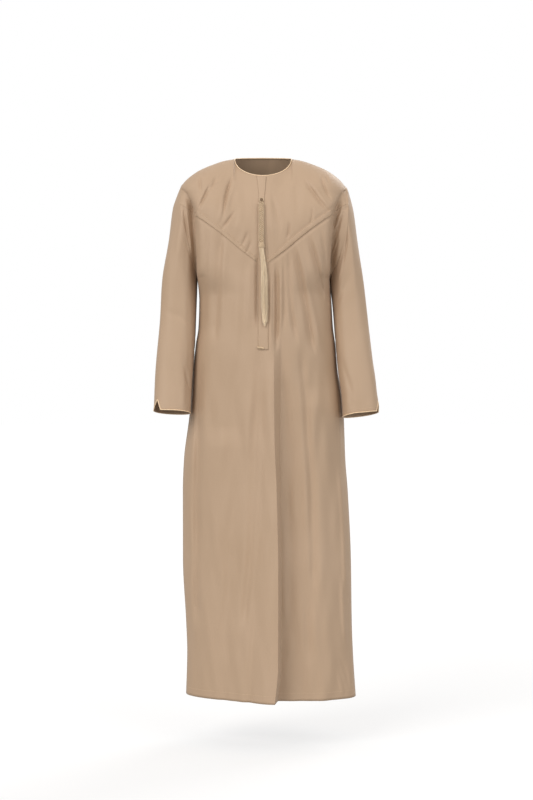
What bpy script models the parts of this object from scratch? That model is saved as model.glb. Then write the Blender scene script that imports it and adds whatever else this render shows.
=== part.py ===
# Thobe robe in its worn form, hollow and with nobody in it. Metres, +Z up, front faces -Y.
# The origin is where the wearer's shoulders hold it, at the side of the neck on the centre line.
# Left and right in the names are the wearer's own, so right is at -X.

import bpy
import bmesh
from collections import namedtuple
from math import sin, cos, pi, sqrt, exp, radians
from mathutils import Vector

for old in list(bpy.data.objects):
    bpy.data.objects.remove(old, do_unlink=True)

# Driving sizes
wall = 0.0015
seam_half_gap = 0.00015
rest_gap = 0.0004
hem_z = -1.39
shoulder_tip_z = -0.072
armpit_z = -0.310
neck_half_width = 0.0755
neck_rise = {"front": -0.052, "back": 0.010}
neck_depth = {"front": 0.072, "back": 0.058}
placket_right_x = -0.0125
placket_left_x = 0.0140
placket_end_z = -0.4986
piping_radius = 0.0016
fold_foot_width = 0.008
armhole_half_depth = 0.075
shoulder_reach = 0.118
centre_reach = 0.10
centre_soft_power = 0.4
neck_blend_height = 0.075
neck_blend_half_width = 0.10
armpit_blend_height = 0.060
armhole_blend_share = 0.80
centre_soft_from_x = 0.02
centre_soft_to_x = 0.19
chest_squareness = 1.3
chest_square_from_z = -0.095
chest_square_full_z = -0.140
chest_square_low_z = -0.360
chest_hollow_depth = 0.014
chest_hollow_offset = 0.005
chest_hollow_width = 0.007
chest_hollow_from_z = -0.090
fold_run_out = 0.03
fold_fade_in = 0.05
fold_edge_share = 0.35
hem_turn_from_z = -0.5
hem_turn = -0.09
sleeve_square = 2.2
sleeve_hold_share = 0.35

# Columns of each half, from the centre line out
front_neck_columns = 8
back_neck_columns = 4
shoulder_columns = 12
yoke_rows = 6
armhole_rows = 8
side_rows = 13
sleeve_rings = 12

# Where the front's outer edge lies at each height, side seam and sleeve edges alike
Side = namedtuple("Side", "z right left")
body_side = [
    Side(-0.310, 0.170, 0.172),
    Side(-0.370, 0.165, 0.177),
    Side(-0.436, 0.167, 0.181),
    Side(-0.482, 0.174, 0.187),
    Side(-0.550, 0.181, 0.193),
    Side(-0.615, 0.186, 0.204),
    Side(-0.670, 0.191, 0.209),
    Side(-0.781, 0.205, 0.213),
    Side(-0.860, 0.208, 0.219),
    Side(-1.040, 0.208, 0.227),
    Side(-1.200, 0.200, 0.229),
    Side(-1.280, 0.197, 0.232),
    Side(-1.390, 0.200, 0.239),
]
armhole_side = [
    Side(-0.060, 0.213, 0.215),
    Side(-0.090, 0.213, 0.218),
    Side(-0.130, 0.212, 0.219),
    Side(-0.160, 0.208, 0.217),
    Side(-0.186, 0.200, 0.214),
    Side(-0.228, 0.191, 0.205),
    Side(-0.277, 0.179, 0.189),
    Side(-0.310, 0.170, 0.172),
]
sleeve_outer = [
    Side(-0.072, 0.213, 0.216),
    Side(-0.092, 0.221, 0.224),
    Side(-0.131, 0.234, 0.234),
    Side(-0.209, 0.244, 0.244),
    Side(-0.313, 0.260, 0.257),
    Side(-0.417, 0.266, 0.270),
    Side(-0.521, 0.275, 0.283),
    Side(-0.573, 0.278, 0.291),
    Side(-0.670, 0.281, 0.299),
]
sleeve_inner = [
    Side(-0.072, 0.168, 0.172),
    Side(-0.310, 0.171, 0.174),
    Side(-0.370, 0.1725, 0.180),
    Side(-0.450, 0.1745, 0.185),
    Side(-0.550, 0.180, 0.1935),
    Side(-0.615, 0.184, 0.2015),
    Side(-0.670, 0.1865, 0.2045),
]

# Depth of the front and back from the side seams, and how square each section is
Depth = namedtuple("Depth", "z front back square")
body_depth = [
    Depth(0.020, 0.105, 0.110, 2.3),
    Depth(-0.060, 0.112, 0.120, 2.3),
    Depth(-0.200, 0.125, 0.126, 2.5),
    Depth(-0.320, 0.129, 0.124, 2.5),
    Depth(-0.450, 0.130, 0.124, 2.4),
    Depth(-0.600, 0.124, 0.130, 2.3),
    Depth(-0.800, 0.112, 0.136, 2.2),
    Depth(-1.000, 0.104, 0.139, 2.1),
    Depth(-1.390, 0.100, 0.142, 2.0),
]

# Where the chest turns back towards the arm, above the armpit
Corner = namedtuple("Corner", "z right left")
chest_corner = [
    Corner(-0.050, 0.245, 0.245),
    Corner(-0.075, 0.216, 0.220),
    Corner(-0.098, 0.193, 0.199),
    Corner(-0.140, 0.178, 0.183),
    Corner(-0.200, 0.173, 0.177),
    Corner(-0.310, 0.170, 0.172),
]

# Sleeve section: half depth and how far its middle lies in front of the side seam
Arm = namedtuple("Arm", "z half_depth forward")
arm_depth = [
    Arm(-0.072, 0.066, 0.000),
    Arm(-0.190, 0.069, 0.002),
    Arm(-0.360, 0.062, 0.010),
    Arm(-0.500, 0.055, 0.030),
    Arm(-0.670, 0.049, 0.054),
]

# V seam of the upper front, out from the centre
Seam = namedtuple("Seam", "x z")
yoke_seam = [
    Seam(0.000, -0.2840),
    Seam(0.050, -0.2435),
    Seam(0.100, -0.2015),
    Seam(0.170, -0.1500),
    Seam(0.214, -0.1225),
]

# Shoulder line from the side of the neck to the sleeve
Ridge = namedtuple("Ridge", "x z")
shoulder_line = [
    Ridge(0.0755, 0.000),
    Ridge(0.099, -0.004),
    Ridge(0.130, -0.014),
    Ridge(0.161, -0.027),
    Ridge(0.182, -0.040),
    Ridge(0.200, -0.055),
    Ridge(0.214, -0.072),
]

# Largest soft folds: three points each, half width and height (below zero is a trough)
Fold = namedtuple("Fold", "face x_top z_top x_mid z_mid x_low z_low half_width height")
folds = [
    Fold("front", 0.0785, -0.235, 0.0960, -0.330, 0.1316, -0.506, 0.013, -0.007),
    Fold("front", 0.1120, -0.205, 0.1316, -0.261, 0.1543, -0.380, 0.012, -0.006),
    Fold("front", 0.0659, -0.251, 0.0690, -0.347, 0.0860, -0.480, 0.012, -0.005),
    Fold("front", 0.0330, -0.292, 0.0350, -0.347, 0.0330, -0.470, 0.011, -0.006),
    Fold("front", -0.0330, -0.271, -0.0340, -0.360, -0.0360, -0.440, 0.011, -0.006),
    Fold("front", -0.1045, -0.205, -0.1130, -0.310, -0.1222, -0.450, 0.013, -0.004),
    Fold("front", -0.1000, -0.700, -0.1150, -1.000, -0.1250, -1.395, 0.040, 0.008),
    Fold("front", 0.1350, -0.600, 0.1450, -0.950, 0.1500, -1.395, 0.035, 0.008),
    Fold("back", -0.1200, -0.500, -0.1350, -0.900, -0.1400, -1.395, 0.030, 0.010),
    Fold("back", -0.0450, -0.420, -0.0550, -0.900, -0.0500, -1.395, 0.026, 0.012),
    Fold("back", 0.0350, -0.480, 0.0400, -0.900, 0.0500, -1.395, 0.028, 0.011),
    Fold("back", 0.1200, -0.420, 0.1300, -0.900, 0.1450, -1.395, 0.030, 0.009),
    Fold("back", -0.0900, -0.160, -0.1000, -0.300, -0.1150, -0.450, 0.016, -0.006),
    Fold("back", 0.0950, -0.150, 0.1050, -0.290, 0.1250, -0.440, 0.016, -0.005),
]

# Centre fold below the placket: its edge, how far it stands out and where it starts to rise
CentreFold = namedtuple("CentreFold", "z edge_x height start_x shoulder_x")
centre_fold = [
    CentreFold(-0.420, 0.0260, 0.000, -0.060, -0.004),
    CentreFold(-0.500, 0.0268, 0.012, -0.070, -0.001),
    CentreFold(-0.600, 0.0280, 0.024, -0.080, -0.002),
    CentreFold(-0.728, 0.0294, 0.033, -0.085, -0.003),
    CentreFold(-0.857, 0.0347, 0.039, -0.090, -0.004),
    CentreFold(-1.074, 0.0388, 0.048, -0.100, -0.020),
    CentreFold(-1.300, 0.0380, 0.054, -0.115, -0.030),
    CentreFold(-1.390, 0.0300, 0.056, -0.120, -0.034),
]

# Cuff of each sleeve: its edge, and its notch in degrees round the cuff to the front and the back
Cuff = namedtuple("Cuff", "side outer_z inner_z notch_angle notch_front notch_back notch_height")
cuff_right = Cuff(-1, -0.646, -0.651, 46.2, 15.0, 36.0, 0.026)
cuff_left = Cuff(1, -0.648, -0.661, 18.5, 21.0, 30.0, 0.026)
cuff_back_drop = 0.012


def material(name, colour, roughness):
    made = bpy.data.materials.new(name)
    made.use_nodes = True
    shader = made.node_tree.nodes["Principled BSDF"]
    shader.inputs["Base Color"].default_value = (*colour, 1.0)
    shader.inputs["Roughness"].default_value = roughness
    shader.inputs["Metallic"].default_value = 0.0
    made.diffuse_color = (*colour, 1.0)
    return made


robe_cloth = material("robe_cloth", (0.52, 0.38, 0.27), 0.75)
piping_cord = material("piping_cord", (0.83, 0.66, 0.47), 0.7)
tassel_silk = material("tassel_silk", (0.55, 0.44, 0.32), 0.5)
button_shell = material("button_shell", (0.30, 0.22, 0.15), 0.4)


def read_table(table, column, at, key="z"):
    """Smooth value of one column at a height, through the table's rows."""
    places = [getattr(row, key) for row in table]
    values = [getattr(row, column) for row in table]
    if places[0] > places[-1]:
        places.reverse()
        values.reverse()
    if at <= places[0]:
        return values[0]
    if at >= places[-1]:
        return values[-1]
    i = max(k for k in range(len(places) - 1) if places[k] <= at)
    step = places[i + 1] - places[i]
    slope = (values[i + 1] - values[i]) / step
    before = slope if i == 0 else (values[i] - values[i - 1]) / (places[i] - places[i - 1])
    after = slope
    if i + 2 < len(places):
        after = (values[i + 2] - values[i + 1]) / (places[i + 2] - places[i + 1])
    start = 2 * before * slope / (before + slope) if before * slope > 0 else 0.0
    end = 2 * after * slope / (after + slope) if after * slope > 0 else 0.0
    t = (at - places[i]) / step
    return (values[i] * (1 + 2 * t) * (1 - t) ** 2 + step * start * t * (1 - t) ** 2
            + values[i + 1] * t * t * (3 - 2 * t) - step * end * t * t * (1 - t))


def smooth_step(low, high, value):
    t = min(1.0, max(0.0, (value - low) / (high - low)))
    return t * t * (3 - 2 * t)


def side_name(x):
    return "left" if x >= 0 else "right"


def edge_x(side, z):
    """Distance of the body's outer edge from the centre plane."""
    table = armhole_side if z > armpit_z else body_side
    return read_table(table, side, z)


def arm_edge_depth(z):
    """Depth of the armhole edge in front of or behind the side seam."""
    middle = (shoulder_tip_z + armpit_z) / 2
    if z > middle:
        return armhole_half_depth
    t = min(1.0, (middle - z) / (middle - armpit_z))
    return armhole_half_depth * sqrt(1 - t * t)


def side_depth(side, x, z):
    """Depth at the body's side: the armhole's own at its edge, easing out below it further in."""
    at_edge = arm_edge_depth(z) if z > armpit_z else 0.0
    middle = (shoulder_tip_z + armpit_z) / 2
    eased = armhole_half_depth * smooth_step(armpit_z - armpit_blend_height, middle, z)
    near = smooth_step(armhole_blend_share, 1.0, abs(x) / edge_x(side, z))
    return eased + (at_edge - eased) * near


def fold_height(face, x, z):
    total = 0.0
    for fold in folds:
        if fold.face != face or not fold.z_low - fold_run_out <= z <= fold.z_top + fold_run_out:
            continue
        t = (fold.z_top - z) / (fold.z_top - fold.z_low)
        t_mid = (fold.z_top - fold.z_mid) / (fold.z_top - fold.z_low)
        t = min(1.0, max(0.0, t))
        straight = fold.x_top + (fold.x_low - fold.x_top) * t
        bow = fold.x_mid - (fold.x_top + (fold.x_low - fold.x_top) * t_mid)
        middle = straight + bow * t * (1 - t) / (t_mid * (1 - t_mid))
        fade = smooth_step(fold.z_top + fold_run_out, fold.z_top - fold_fade_in, z)
        if fold.z_low > hem_z:
            fade *= smooth_step(fold.z_low - fold_run_out, fold.z_low + fold_fade_in, z)
        total += fold.height * fade * exp(-((x - middle) / fold.half_width) ** 2)
    return total


def centre_fold_height(x, z):
    """Height of the long front fold, which falls off sharply at its edge."""
    if z > centre_fold[0].z:
        return 0.0
    edge = read_table(centre_fold, "edge_x", z)
    height = read_table(centre_fold, "height", z)
    start = read_table(centre_fold, "start_x", z)
    shoulder = read_table(centre_fold, "shoulder_x", z)
    if x <= start or x >= edge + fold_foot_width:
        return 0.0
    if x > edge:
        return height * (1 - (x - edge) / fold_foot_width)
    if x > shoulder:
        return height * (0.5 + 0.5 * sin(pi / 2 * (x - shoulder) / (edge - shoulder)))
    return height * 0.5 * smooth_step(start, shoulder, x)


def neck_round(x):
    return sqrt(max(0.0, 1 - (x / neck_half_width) ** 2))


def neck_crown(face, depth_at_neck):
    """Height above the neckline at which the shoulder's round would close on the centre line."""
    share = neck_depth[face] / depth_at_neck
    power = 2.0 - centre_soft_power
    return (shoulder_reach + centre_reach) * (1 - (1 - share ** power) ** (1 / power))


def shoulder_top(face, x, z, depth, reach, power):
    """Height at which the shoulder's round closes, so that the neckline lies on the surface."""
    if abs(x) < neck_half_width:
        neck_share = neck_round(x) * neck_depth[face] / depth
        neckline = neck_rise[face] * neck_round(x)
        exact = neckline + reach * (1 - (1 - neck_share ** power) ** (1 / power))
    else:
        exact = read_table(shoulder_line, "z", abs(x), key="x")
        neckline = exact
    # below the neckline the two sides of the neck ease into one round
    line = read_table(shoulder_line, "z", max(abs(x), neck_half_width), key="x")
    crown = neck_rise[face] + neck_crown(face, read_table(body_depth, face, neck_rise[face]))
    eased = line + crown * max(0.0, 1 - (x / neck_blend_half_width) ** 2) ** 2
    return exact + (eased - exact) * smooth_step(0.0, neck_blend_height, neckline - z)


def body_y(face, x, z):
    """Depth coordinate of the worn cloth at a place seen from the front."""
    side = side_name(x)
    if z > armpit_z:
        corner = read_table(chest_corner, side, z)
    else:
        corner = edge_x(side, z)
    edge = side_depth(side, x, z)
    deep = read_table(body_depth, face, z)
    square = read_table(body_depth, "square", z)
    if face == "front":
        squarer = smooth_step(chest_square_from_z, chest_square_full_z, z)
        squarer *= smooth_step(chest_square_low_z, chest_square_low_z + 0.08, z)
        square += chest_squareness * squarer
    across = min(1.0, abs(x) / corner)
    round_off = (1 - across ** square) ** (1 / square)
    depth = edge + (deep - edge) * round_off
    if z > armpit_z and face == "front":
        hollow = smooth_step(chest_hollow_from_z, chest_square_full_z, z)
        hollow *= smooth_step(armpit_z, armpit_z + 0.04, z)
        away = (abs(x) - corner - chest_hollow_offset) / chest_hollow_width
        depth -= chest_hollow_depth * hollow * exp(-away ** 2)
    centre_share = 1 - smooth_step(centre_soft_from_x, centre_soft_to_x, abs(x))
    reach = shoulder_reach + centre_reach * centre_share
    power = 2.0 - centre_soft_power * centre_share
    top = shoulder_top(face, x, z, depth, reach, power)
    below = min(1.0, max(0.0, (top - z) / reach))
    depth *= (1 - (1 - below) ** power) ** (1 / power)
    depth += fold_height(face, x, z) * smooth_step(0.0, fold_edge_share, round_off)
    if face == "front":
        depth += centre_fold_height(x, z)
    turn = hem_turn * x * smooth_step(hem_turn_from_z, hem_z, z)
    return turn + (depth if face == "back" else -depth)


def body_point(face, x, z):
    return Vector((x, body_y(face, x, z), z))


# Heights of the rows at the outer edge, shared by front, back and sleeves
armhole_middle = (shoulder_tip_z + armpit_z) / 2
armhole_half_height = (shoulder_tip_z - armpit_z) / 2
yoke_edge_angle = 55.4
armhole_angles = [yoke_edge_angle * r / yoke_rows for r in range(yoke_rows + 1)]
armhole_angles += [
    yoke_edge_angle + (180 - yoke_edge_angle) * r / armhole_rows for r in range(1, armhole_rows + 1)
]
armhole_z = [armhole_middle + armhole_half_height * cos(radians(a)) for a in armhole_angles]
first_side_z = -0.3685
side_z = [first_side_z + (hem_z - first_side_z) * r / (side_rows - 1) for r in range(side_rows)]
edge_z = armhole_z + side_z

# Column places, 0 at the centre and 1 at the outer edge, with one more beside the centre fold
fold_edge_column = 2
fold_foot_place = 2.35
fold_pull_columns = 2.6
even_share = 0.4
back_spread_share = 0.12
front_columns = front_neck_columns + shoulder_columns
back_columns = back_neck_columns + shoulder_columns
front_places = sorted(list(range(-front_columns, front_columns + 1)) + [fold_foot_place])


def spread(place, columns):
    """Share of the half width at a column: even in the middle, closer at the edge."""
    u = abs(place) / columns
    share = even_share * u + (1 - even_share) * sin(pi / 2 * u)
    return share if place >= 0 else -share


def top_x(place, neck_columns):
    u = abs(place)
    tip = edge_x(side_name(place), shoulder_tip_z)
    if u <= neck_columns:
        x = neck_half_width * sin(pi / 2 * u / neck_columns)
    else:
        x = neck_half_width + (tip - neck_half_width) * (u - neck_columns) / shoulder_columns
    return x if place >= 0 else -x


def top_z(face, place, x, neck_columns):
    if abs(place) < neck_columns:
        return neck_rise[face] * neck_round(x)
    if abs(place) == neck_columns + shoulder_columns:
        return shoulder_tip_z
    return read_table(shoulder_line, "z", abs(x), key="x")


def hold_placket(place, x, z):
    """Columns beside the centre line follow the placket's straight edges."""
    hold = smooth_step(placket_end_z - 0.10, placket_end_z - 0.02, z)
    if place == -1:
        return x + (placket_right_x - x) * hold
    if place == 1:
        return x + (placket_left_x - x) * hold
    return x


def front_rows():
    """Points of the whole front, rows from shoulder to hem."""
    seam = []
    for place in front_places:
        x = spread(place, front_columns) * edge_x(side_name(place), armhole_z[yoke_rows])
        seam.append((x, read_table(yoke_seam, "z", abs(x), key="x")))
    seam[0] = (seam[0][0], armhole_z[yoke_rows])
    seam[-1] = (seam[-1][0], armhole_z[yoke_rows])
    rows = []
    for r, z_edge in enumerate(edge_z):
        row = []
        for c, place in enumerate(front_places):
            side = side_name(place)
            if r <= yoke_rows:
                x0 = top_x(place, front_neck_columns)
                z0 = top_z("front", place, x0, front_neck_columns)
                t = (z_edge - edge_z[0]) / (edge_z[yoke_rows] - edge_z[0])
                x = x0 + (seam[c][0] - x0) * t
                z = z0 + (seam[c][1] - z0) * t
                if abs(place) == front_columns:
                    x = edge_x(side, z) * (1 if place > 0 else -1)
            else:
                t = (edge_z[yoke_rows] - z_edge) / (edge_z[yoke_rows] - hem_z)
                z = seam[c][1] + (hem_z - seam[c][1]) * t
                x = spread(place, front_columns) * edge_x(side, z_edge)
                if z < centre_fold[0].z:
                    x = follow_centre_fold(place, x, z, edge_x("left", z_edge))
            x = hold_placket(place, x, z)
            row.append(body_point("front", x, z))
        rows.append(row)
    return rows


def follow_centre_fold(place, x, z, half_width):
    """Columns near the centre fold move with its edge."""
    edge = read_table(centre_fold, "edge_x", z)
    pull = smooth_step(centre_fold[0].z, centre_fold[0].z - 0.08, z)
    natural = spread(fold_edge_column, front_columns) * half_width
    if place == fold_foot_place:
        return x + (edge + fold_foot_width - x) * pull
    return x + (edge - natural) * pull * exp(-((place - fold_edge_column) / fold_pull_columns) ** 2)


def back_rows():
    rows = []
    places = range(-back_columns, back_columns + 1)
    for r, z_edge in enumerate(edge_z):
        row = []
        for place in places:
            side = side_name(place)
            x0 = top_x(place, back_neck_columns)
            z0 = top_z("back", place, x0, back_neck_columns)
            t = (z_edge - edge_z[0]) / (hem_z - edge_z[0])
            z = z0 + (hem_z - z0) * t
            x1 = spread(place, back_columns) * edge_x(side, z_edge)
            x = x0 + (x1 - x0) * smooth_step(0.0, back_spread_share, t)
            if abs(place) == back_columns:
                x = x1
            row.append(body_point("back", x, z))
        rows.append(row)
    return rows


def sleeve_section(cuff, angle, z):
    """Point of the sleeve's tube: 0 degrees is outside, 90 is in front."""
    side = "left" if cuff.side > 0 else "right"
    outer = read_table(sleeve_outer, side, z)
    inner = read_table(sleeve_inner, side, z)
    half_depth = read_table(arm_depth, "half_depth", z)
    forward = read_table(arm_depth, "forward", z)
    c = cos(radians(angle))
    s = sin(radians(angle))
    out = abs(c) ** (2 / sleeve_square) * (1 if c > 0 else -1)
    ahead = abs(s) ** (2 / sleeve_square) * (1 if s > 0 else -1)
    x = (outer + inner) / 2 + (outer - inner) / 2 * out
    return Vector((cuff.side * x, -forward - half_depth * ahead, z))


def cuff_z(cuff, angle):
    share = (1 - cos(radians(angle))) / 2
    z = cuff.outer_z + (cuff.inner_z - cuff.outer_z) * share
    z -= cuff_back_drop * (1 - sin(radians(angle))) / 2
    away = (angle - cuff.notch_angle + 180) % 360 - 180
    away /= cuff.notch_front if away > 0 else -cuff.notch_back
    return z + cuff.notch_height * max(0.0, 1 - away)


def sleeve_rows(cuff, front, back):
    """Rings of a sleeve from the armhole to the cuff."""
    column = -1 if cuff.side > 0 else 0
    count = len(armhole_angles)
    loop = [(front[r][column], armhole_angles[r]) for r in range(count)]
    loop += [(back[r][column], 360 - armhole_angles[r]) for r in range(count - 2, 0, -1)]
    rows = []
    for k in range(sleeve_rings + 1):
        t = k / sleeve_rings
        ring = []
        for start, angle in loop:
            z = start.z + (cuff_z(cuff, angle) - start.z) * t
            keep = 1 - smooth_step(0.0, sleeve_hold_share, t)
            offset = start - sleeve_section(cuff, angle, start.z)
            ring.append(sleeve_section(cuff, angle, z) + offset * keep)
        rows.append(ring)
    return rows


class Sheet:
    """Outer points and faces of one cut piece of cloth."""

    def __init__(self):
        self.points = []
        self.faces = []
        self.index = {}

    def add(self, key, point):
        if key not in self.index:
            self.index[key] = len(self.points)
            self.points.append(point.copy())
        return self.index[key]

    def grid(self, rows, flip=False, closed=False, shared=lambda r, c: ""):
        """Faces over a grid of points. shared gives a column its own copy on each side of a slit."""
        for r in range(len(rows) - 1):
            count = len(rows[r])
            for c in range(count if closed else count - 1):
                d = (c + 1) % count
                corners = [(r, c), (r + 1, c), (r + 1, d), (r, d)]
                face = [self.add((a, b, shared(a, b)), rows[a][b]) for a, b in corners]
                self.faces.append(face[::-1] if flip else face)


def face_normal(points, face):
    a, b, c, d = [points[i] for i in face]
    return (c - a).cross(d - b)


def place_key(point):
    return tuple(round(v * 1e6) for v in point)


def shared_normals(sheets):
    """One normal for each place, from every piece that meets there."""
    sums = {}
    for sheet in sheets:
        for face in sheet.faces:
            normal = face_normal(sheet.points, face)
            for i in face:
                key = place_key(sheet.points[i])
                sums[key] = sums.get(key, Vector((0, 0, 0))) + normal
    return {key: value.normalized() for key, value in sums.items()}


def inward_pulls(sheet, amount):
    """How far each boundary point moves into its own piece."""
    users = {}
    for face in sheet.faces:
        for i, a in enumerate(face):
            b = face[(i + 1) % 4]
            users.setdefault(frozenset((a, b)), []).append((a, b, face))
    pulls = {}
    for edge in users.values():
        if len(edge) > 1:
            continue
        a, b, face = edge[0]
        along = sheet.points[b] - sheet.points[a]
        inward = face_normal(sheet.points, face).cross(along).normalized()
        for i in (a, b):
            pulls.setdefault(i, []).append(inward)
    result = {}
    for i, found in pulls.items():
        both = found[0] + found[-1] if len(found) > 1 else found[0]
        share = 1 + found[0].dot(found[-1]) if len(found) > 1 else 1
        result[i] = both * amount / max(share, 0.5)
    boundary = [edge[0][:2] for edge in users.values() if len(edge) == 1]
    return result, boundary


def cloth_wall(name, sheet, normals, finish, raised=0.0, thickness=wall, inset=seam_half_gap):
    """Closed wall of cloth on a sheet's points, its outer side raised from them."""
    pulls, boundary = inward_pulls(sheet, inset)
    shape = bmesh.new()
    outer = []
    inner = []
    for i, point in enumerate(sheet.points):
        normal = normals[place_key(point)]
        moved = point + pulls.get(i, Vector((0, 0, 0)))
        outer.append(shape.verts.new(moved + normal * raised))
        inner.append(shape.verts.new(moved + normal * (raised - thickness)))
    for a, b, c, d in sheet.faces:
        # layered pieces split their faces along the same diagonal, so they stay level
        for i, j, k in ((a, b, c), (a, c, d)):
            shape.faces.new([outer[i], outer[j], outer[k]])
            shape.faces.new([inner[k], inner[j], inner[i]])
    for a, b in boundary:
        # pieces that share a seam split their edge walls along the same diagonal
        if place_key(sheet.points[a]) < place_key(sheet.points[b]):
            shape.faces.new([outer[b], outer[a], inner[b]])
            shape.faces.new([outer[a], inner[a], inner[b]])
        else:
            shape.faces.new([outer[b], outer[a], inner[a]])
            shape.faces.new([outer[b], inner[a], inner[b]])
    return finish_object(name, shape, finish)


def finish_object(name, shape, finish):
    mesh = bpy.data.meshes.new(name)
    shape.to_mesh(mesh)
    shape.free()
    mesh.materials.append(finish)
    mesh.shade_smooth()
    mesh.set_sharp_from_angle(angle=radians(40))
    made = bpy.data.objects.new(name, mesh)
    bpy.context.collection.objects.link(made)
    return made


def piping(name, loop, beside, normals, finish, sides=6):
    """Round cord along a closed edge. beside holds the points next to the edge, on the cloth."""
    shape = bmesh.new()
    rings = []
    count = len(loop)
    for i, point in enumerate(loop):
        along = (loop[(i + 1) % count] - loop[i - 1]).normalized()
        normal = normals[place_key(point)]
        outward = along.cross(normal).normalized()
        if outward.dot(point - beside[i]) < 0:
            outward = -outward
        level = outward.cross(along).normalized()
        if level.dot(normal) < 0:
            level = -level
        middle = point + outward * (piping_radius + rest_gap) - level * wall / 2
        ring = []
        for k in range(sides):
            angle = 2 * pi * (k + 0.5) / sides
            ring.append(shape.verts.new(
                middle + outward * piping_radius * cos(angle) + level * piping_radius * sin(angle)))
        rings.append(ring)
    for i in range(count):
        here = rings[i]
        there = rings[(i + 1) % count]
        for k in range(sides):
            shape.faces.new([here[k], here[(k + 1) % sides], there[(k + 1) % sides], there[k]])
    bmesh.ops.recalc_face_normals(shape, faces=shape.faces[:])
    bmesh.ops.triangulate(shape, faces=shape.faces[:])
    return finish_object(name, shape, finish)


# Front and upper fronts: the V seam is a row, the neck slit runs down the centre column
front = front_rows()
back = back_rows()
centre = front_places.index(0)
slit_end_row = yoke_rows + armhole_rows + 1

upper_right = Sheet()
upper_right.grid([row[:centre + 1] for row in front[:yoke_rows + 1]])
upper_left = Sheet()
upper_left.grid([row[centre:] for row in front[:yoke_rows + 1]])

lower = front[yoke_rows:]
slit_rows = slit_end_row - yoke_rows
lower_front = Sheet()
lower_front.grid(
    [row[:centre + 1] for row in lower],
    shared=lambda r, c: "right" if c == centre and r < slit_rows else "",
)
left_half = [row[centre:] for row in lower]


def left_key(r, c):
    return (r, c + centre, "left" if c == 0 and r < slit_rows else "")


for r in range(len(left_half) - 1):
    for c in range(len(left_half[r]) - 1):
        corners = [(r, c), (r + 1, c), (r + 1, c + 1), (r, c + 1)]
        lower_front.faces.append(
            [lower_front.add(left_key(a, b), left_half[a][b]) for a, b in corners])

whole_back = Sheet()
whole_back.grid(back, flip=True)

right_sleeve_rows = sleeve_rows(cuff_right, front, back)
left_sleeve_rows = sleeve_rows(cuff_left, front, back)
right_sleeve = Sheet()
right_sleeve.grid(right_sleeve_rows, closed=True)
left_sleeve = Sheet()
left_sleeve.grid(left_sleeve_rows, closed=True, flip=True)

normals = shared_normals(
    [upper_right, upper_left, lower_front, whole_back, right_sleeve, left_sleeve])

cloth_wall("yoke_right", upper_right, normals, robe_cloth)
cloth_wall("yoke_left", upper_left, normals, robe_cloth)
cloth_wall("front", lower_front, normals, robe_cloth)
cloth_wall("back", whole_back, normals, robe_cloth)
cloth_wall("sleeve_right", right_sleeve, normals, robe_cloth)
cloth_wall("sleeve_left", left_sleeve, normals, robe_cloth)

# Placket over the slit, on the panels' own points
placket_strip = Sheet()
placket_strip.grid([row[centre - 1:centre + 2] for row in front[:slit_end_row + 1]])
cloth_wall("placket", placket_strip, normals, robe_cloth, raised=wall + rest_gap, inset=0.0005)

# Piping round the neck and the cuffs
neck_span = [c for c, place in enumerate(front_places) if abs(place) <= front_neck_columns]
back_middle = back_columns
neck_back = range(back_middle + back_neck_columns - 1, back_middle - back_neck_columns, -1)
neck_loop = [front[0][c] for c in neck_span] + [back[0][c] for c in neck_back]
neck_beside = [front[1][c] for c in neck_span] + [back[1][c] for c in neck_back]
piping("neck_piping", neck_loop, neck_beside, normals, piping_cord)
piping("cuff_piping_right", right_sleeve_rows[-1], right_sleeve_rows[-2], normals, piping_cord, sides=5)
piping("cuff_piping_left", left_sleeve_rows[-1], left_sleeve_rows[-2], normals, piping_cord, sides=5)

# Tassel: stem, head and strands lie on the placket
stem_top_z = -0.1254
stem_low_z = -0.2270
stem_width = 0.0150
stem_thickness = 0.0060
stem_end_taper = 0.35
head_low_z = -0.2400
tassel_low_z = -0.4400
tassel_clearance = 0.0005
strand_columns = 11
strand_rows = 4
head_width = 0.0150
head_depth = 0.0075
head_top_share = 0.8
head_roundness = 0.25
strand_gap = 0.0005
strand_steps = 4
strand_tip_share = 0.6
strand_shortening = 0.045
corner_shortening = 0.18
tassel_swell = 0.30
tassel_depth_swell = 0.15
tassel_lean = 0.006


def placket_face(x, z):
    """Outer face of the placket at a place on the centre line."""
    return body_y("front", x, z) - wall - rest_gap


def stem_middle(z, thickness):
    deepest = min(placket_face(x, z) for x in (-0.006, 0.0, 0.008))
    return Vector((-0.001, deepest - tassel_clearance - thickness / 2, z))


def flat_stem(name, finish, segments=12, sides=8):
    shape = bmesh.new()
    rings = []
    for k in range(segments + 1):
        t = k / segments
        z = stem_top_z + (stem_low_z - stem_top_z) * t
        plump = 1 - stem_end_taper * abs(2 * t - 1) ** 8
        middle = stem_middle(z, stem_thickness)
        ring = []
        for i in range(sides):
            angle = 2 * pi * i / sides
            out = stem_width / 2 * cos(angle) * plump
            ahead = stem_thickness / 2 * sin(angle) * plump
            ring.append(shape.verts.new(middle + Vector((out, ahead, 0))))
        rings.append(ring)
    for here, there in zip(rings, rings[1:]):
        for i in range(sides):
            shape.faces.new([here[i], here[(i + 1) % sides], there[(i + 1) % sides], there[i]])
    shape.faces.new(rings[0])
    shape.faces.new(rings[-1][::-1])
    bmesh.ops.recalc_face_normals(shape, faces=shape.faces[:])
    bmesh.ops.triangulate(shape, faces=shape.faces[:])
    return finish_object(name, shape, finish)


flat_stem("tassel_braid", tassel_silk)

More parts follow.
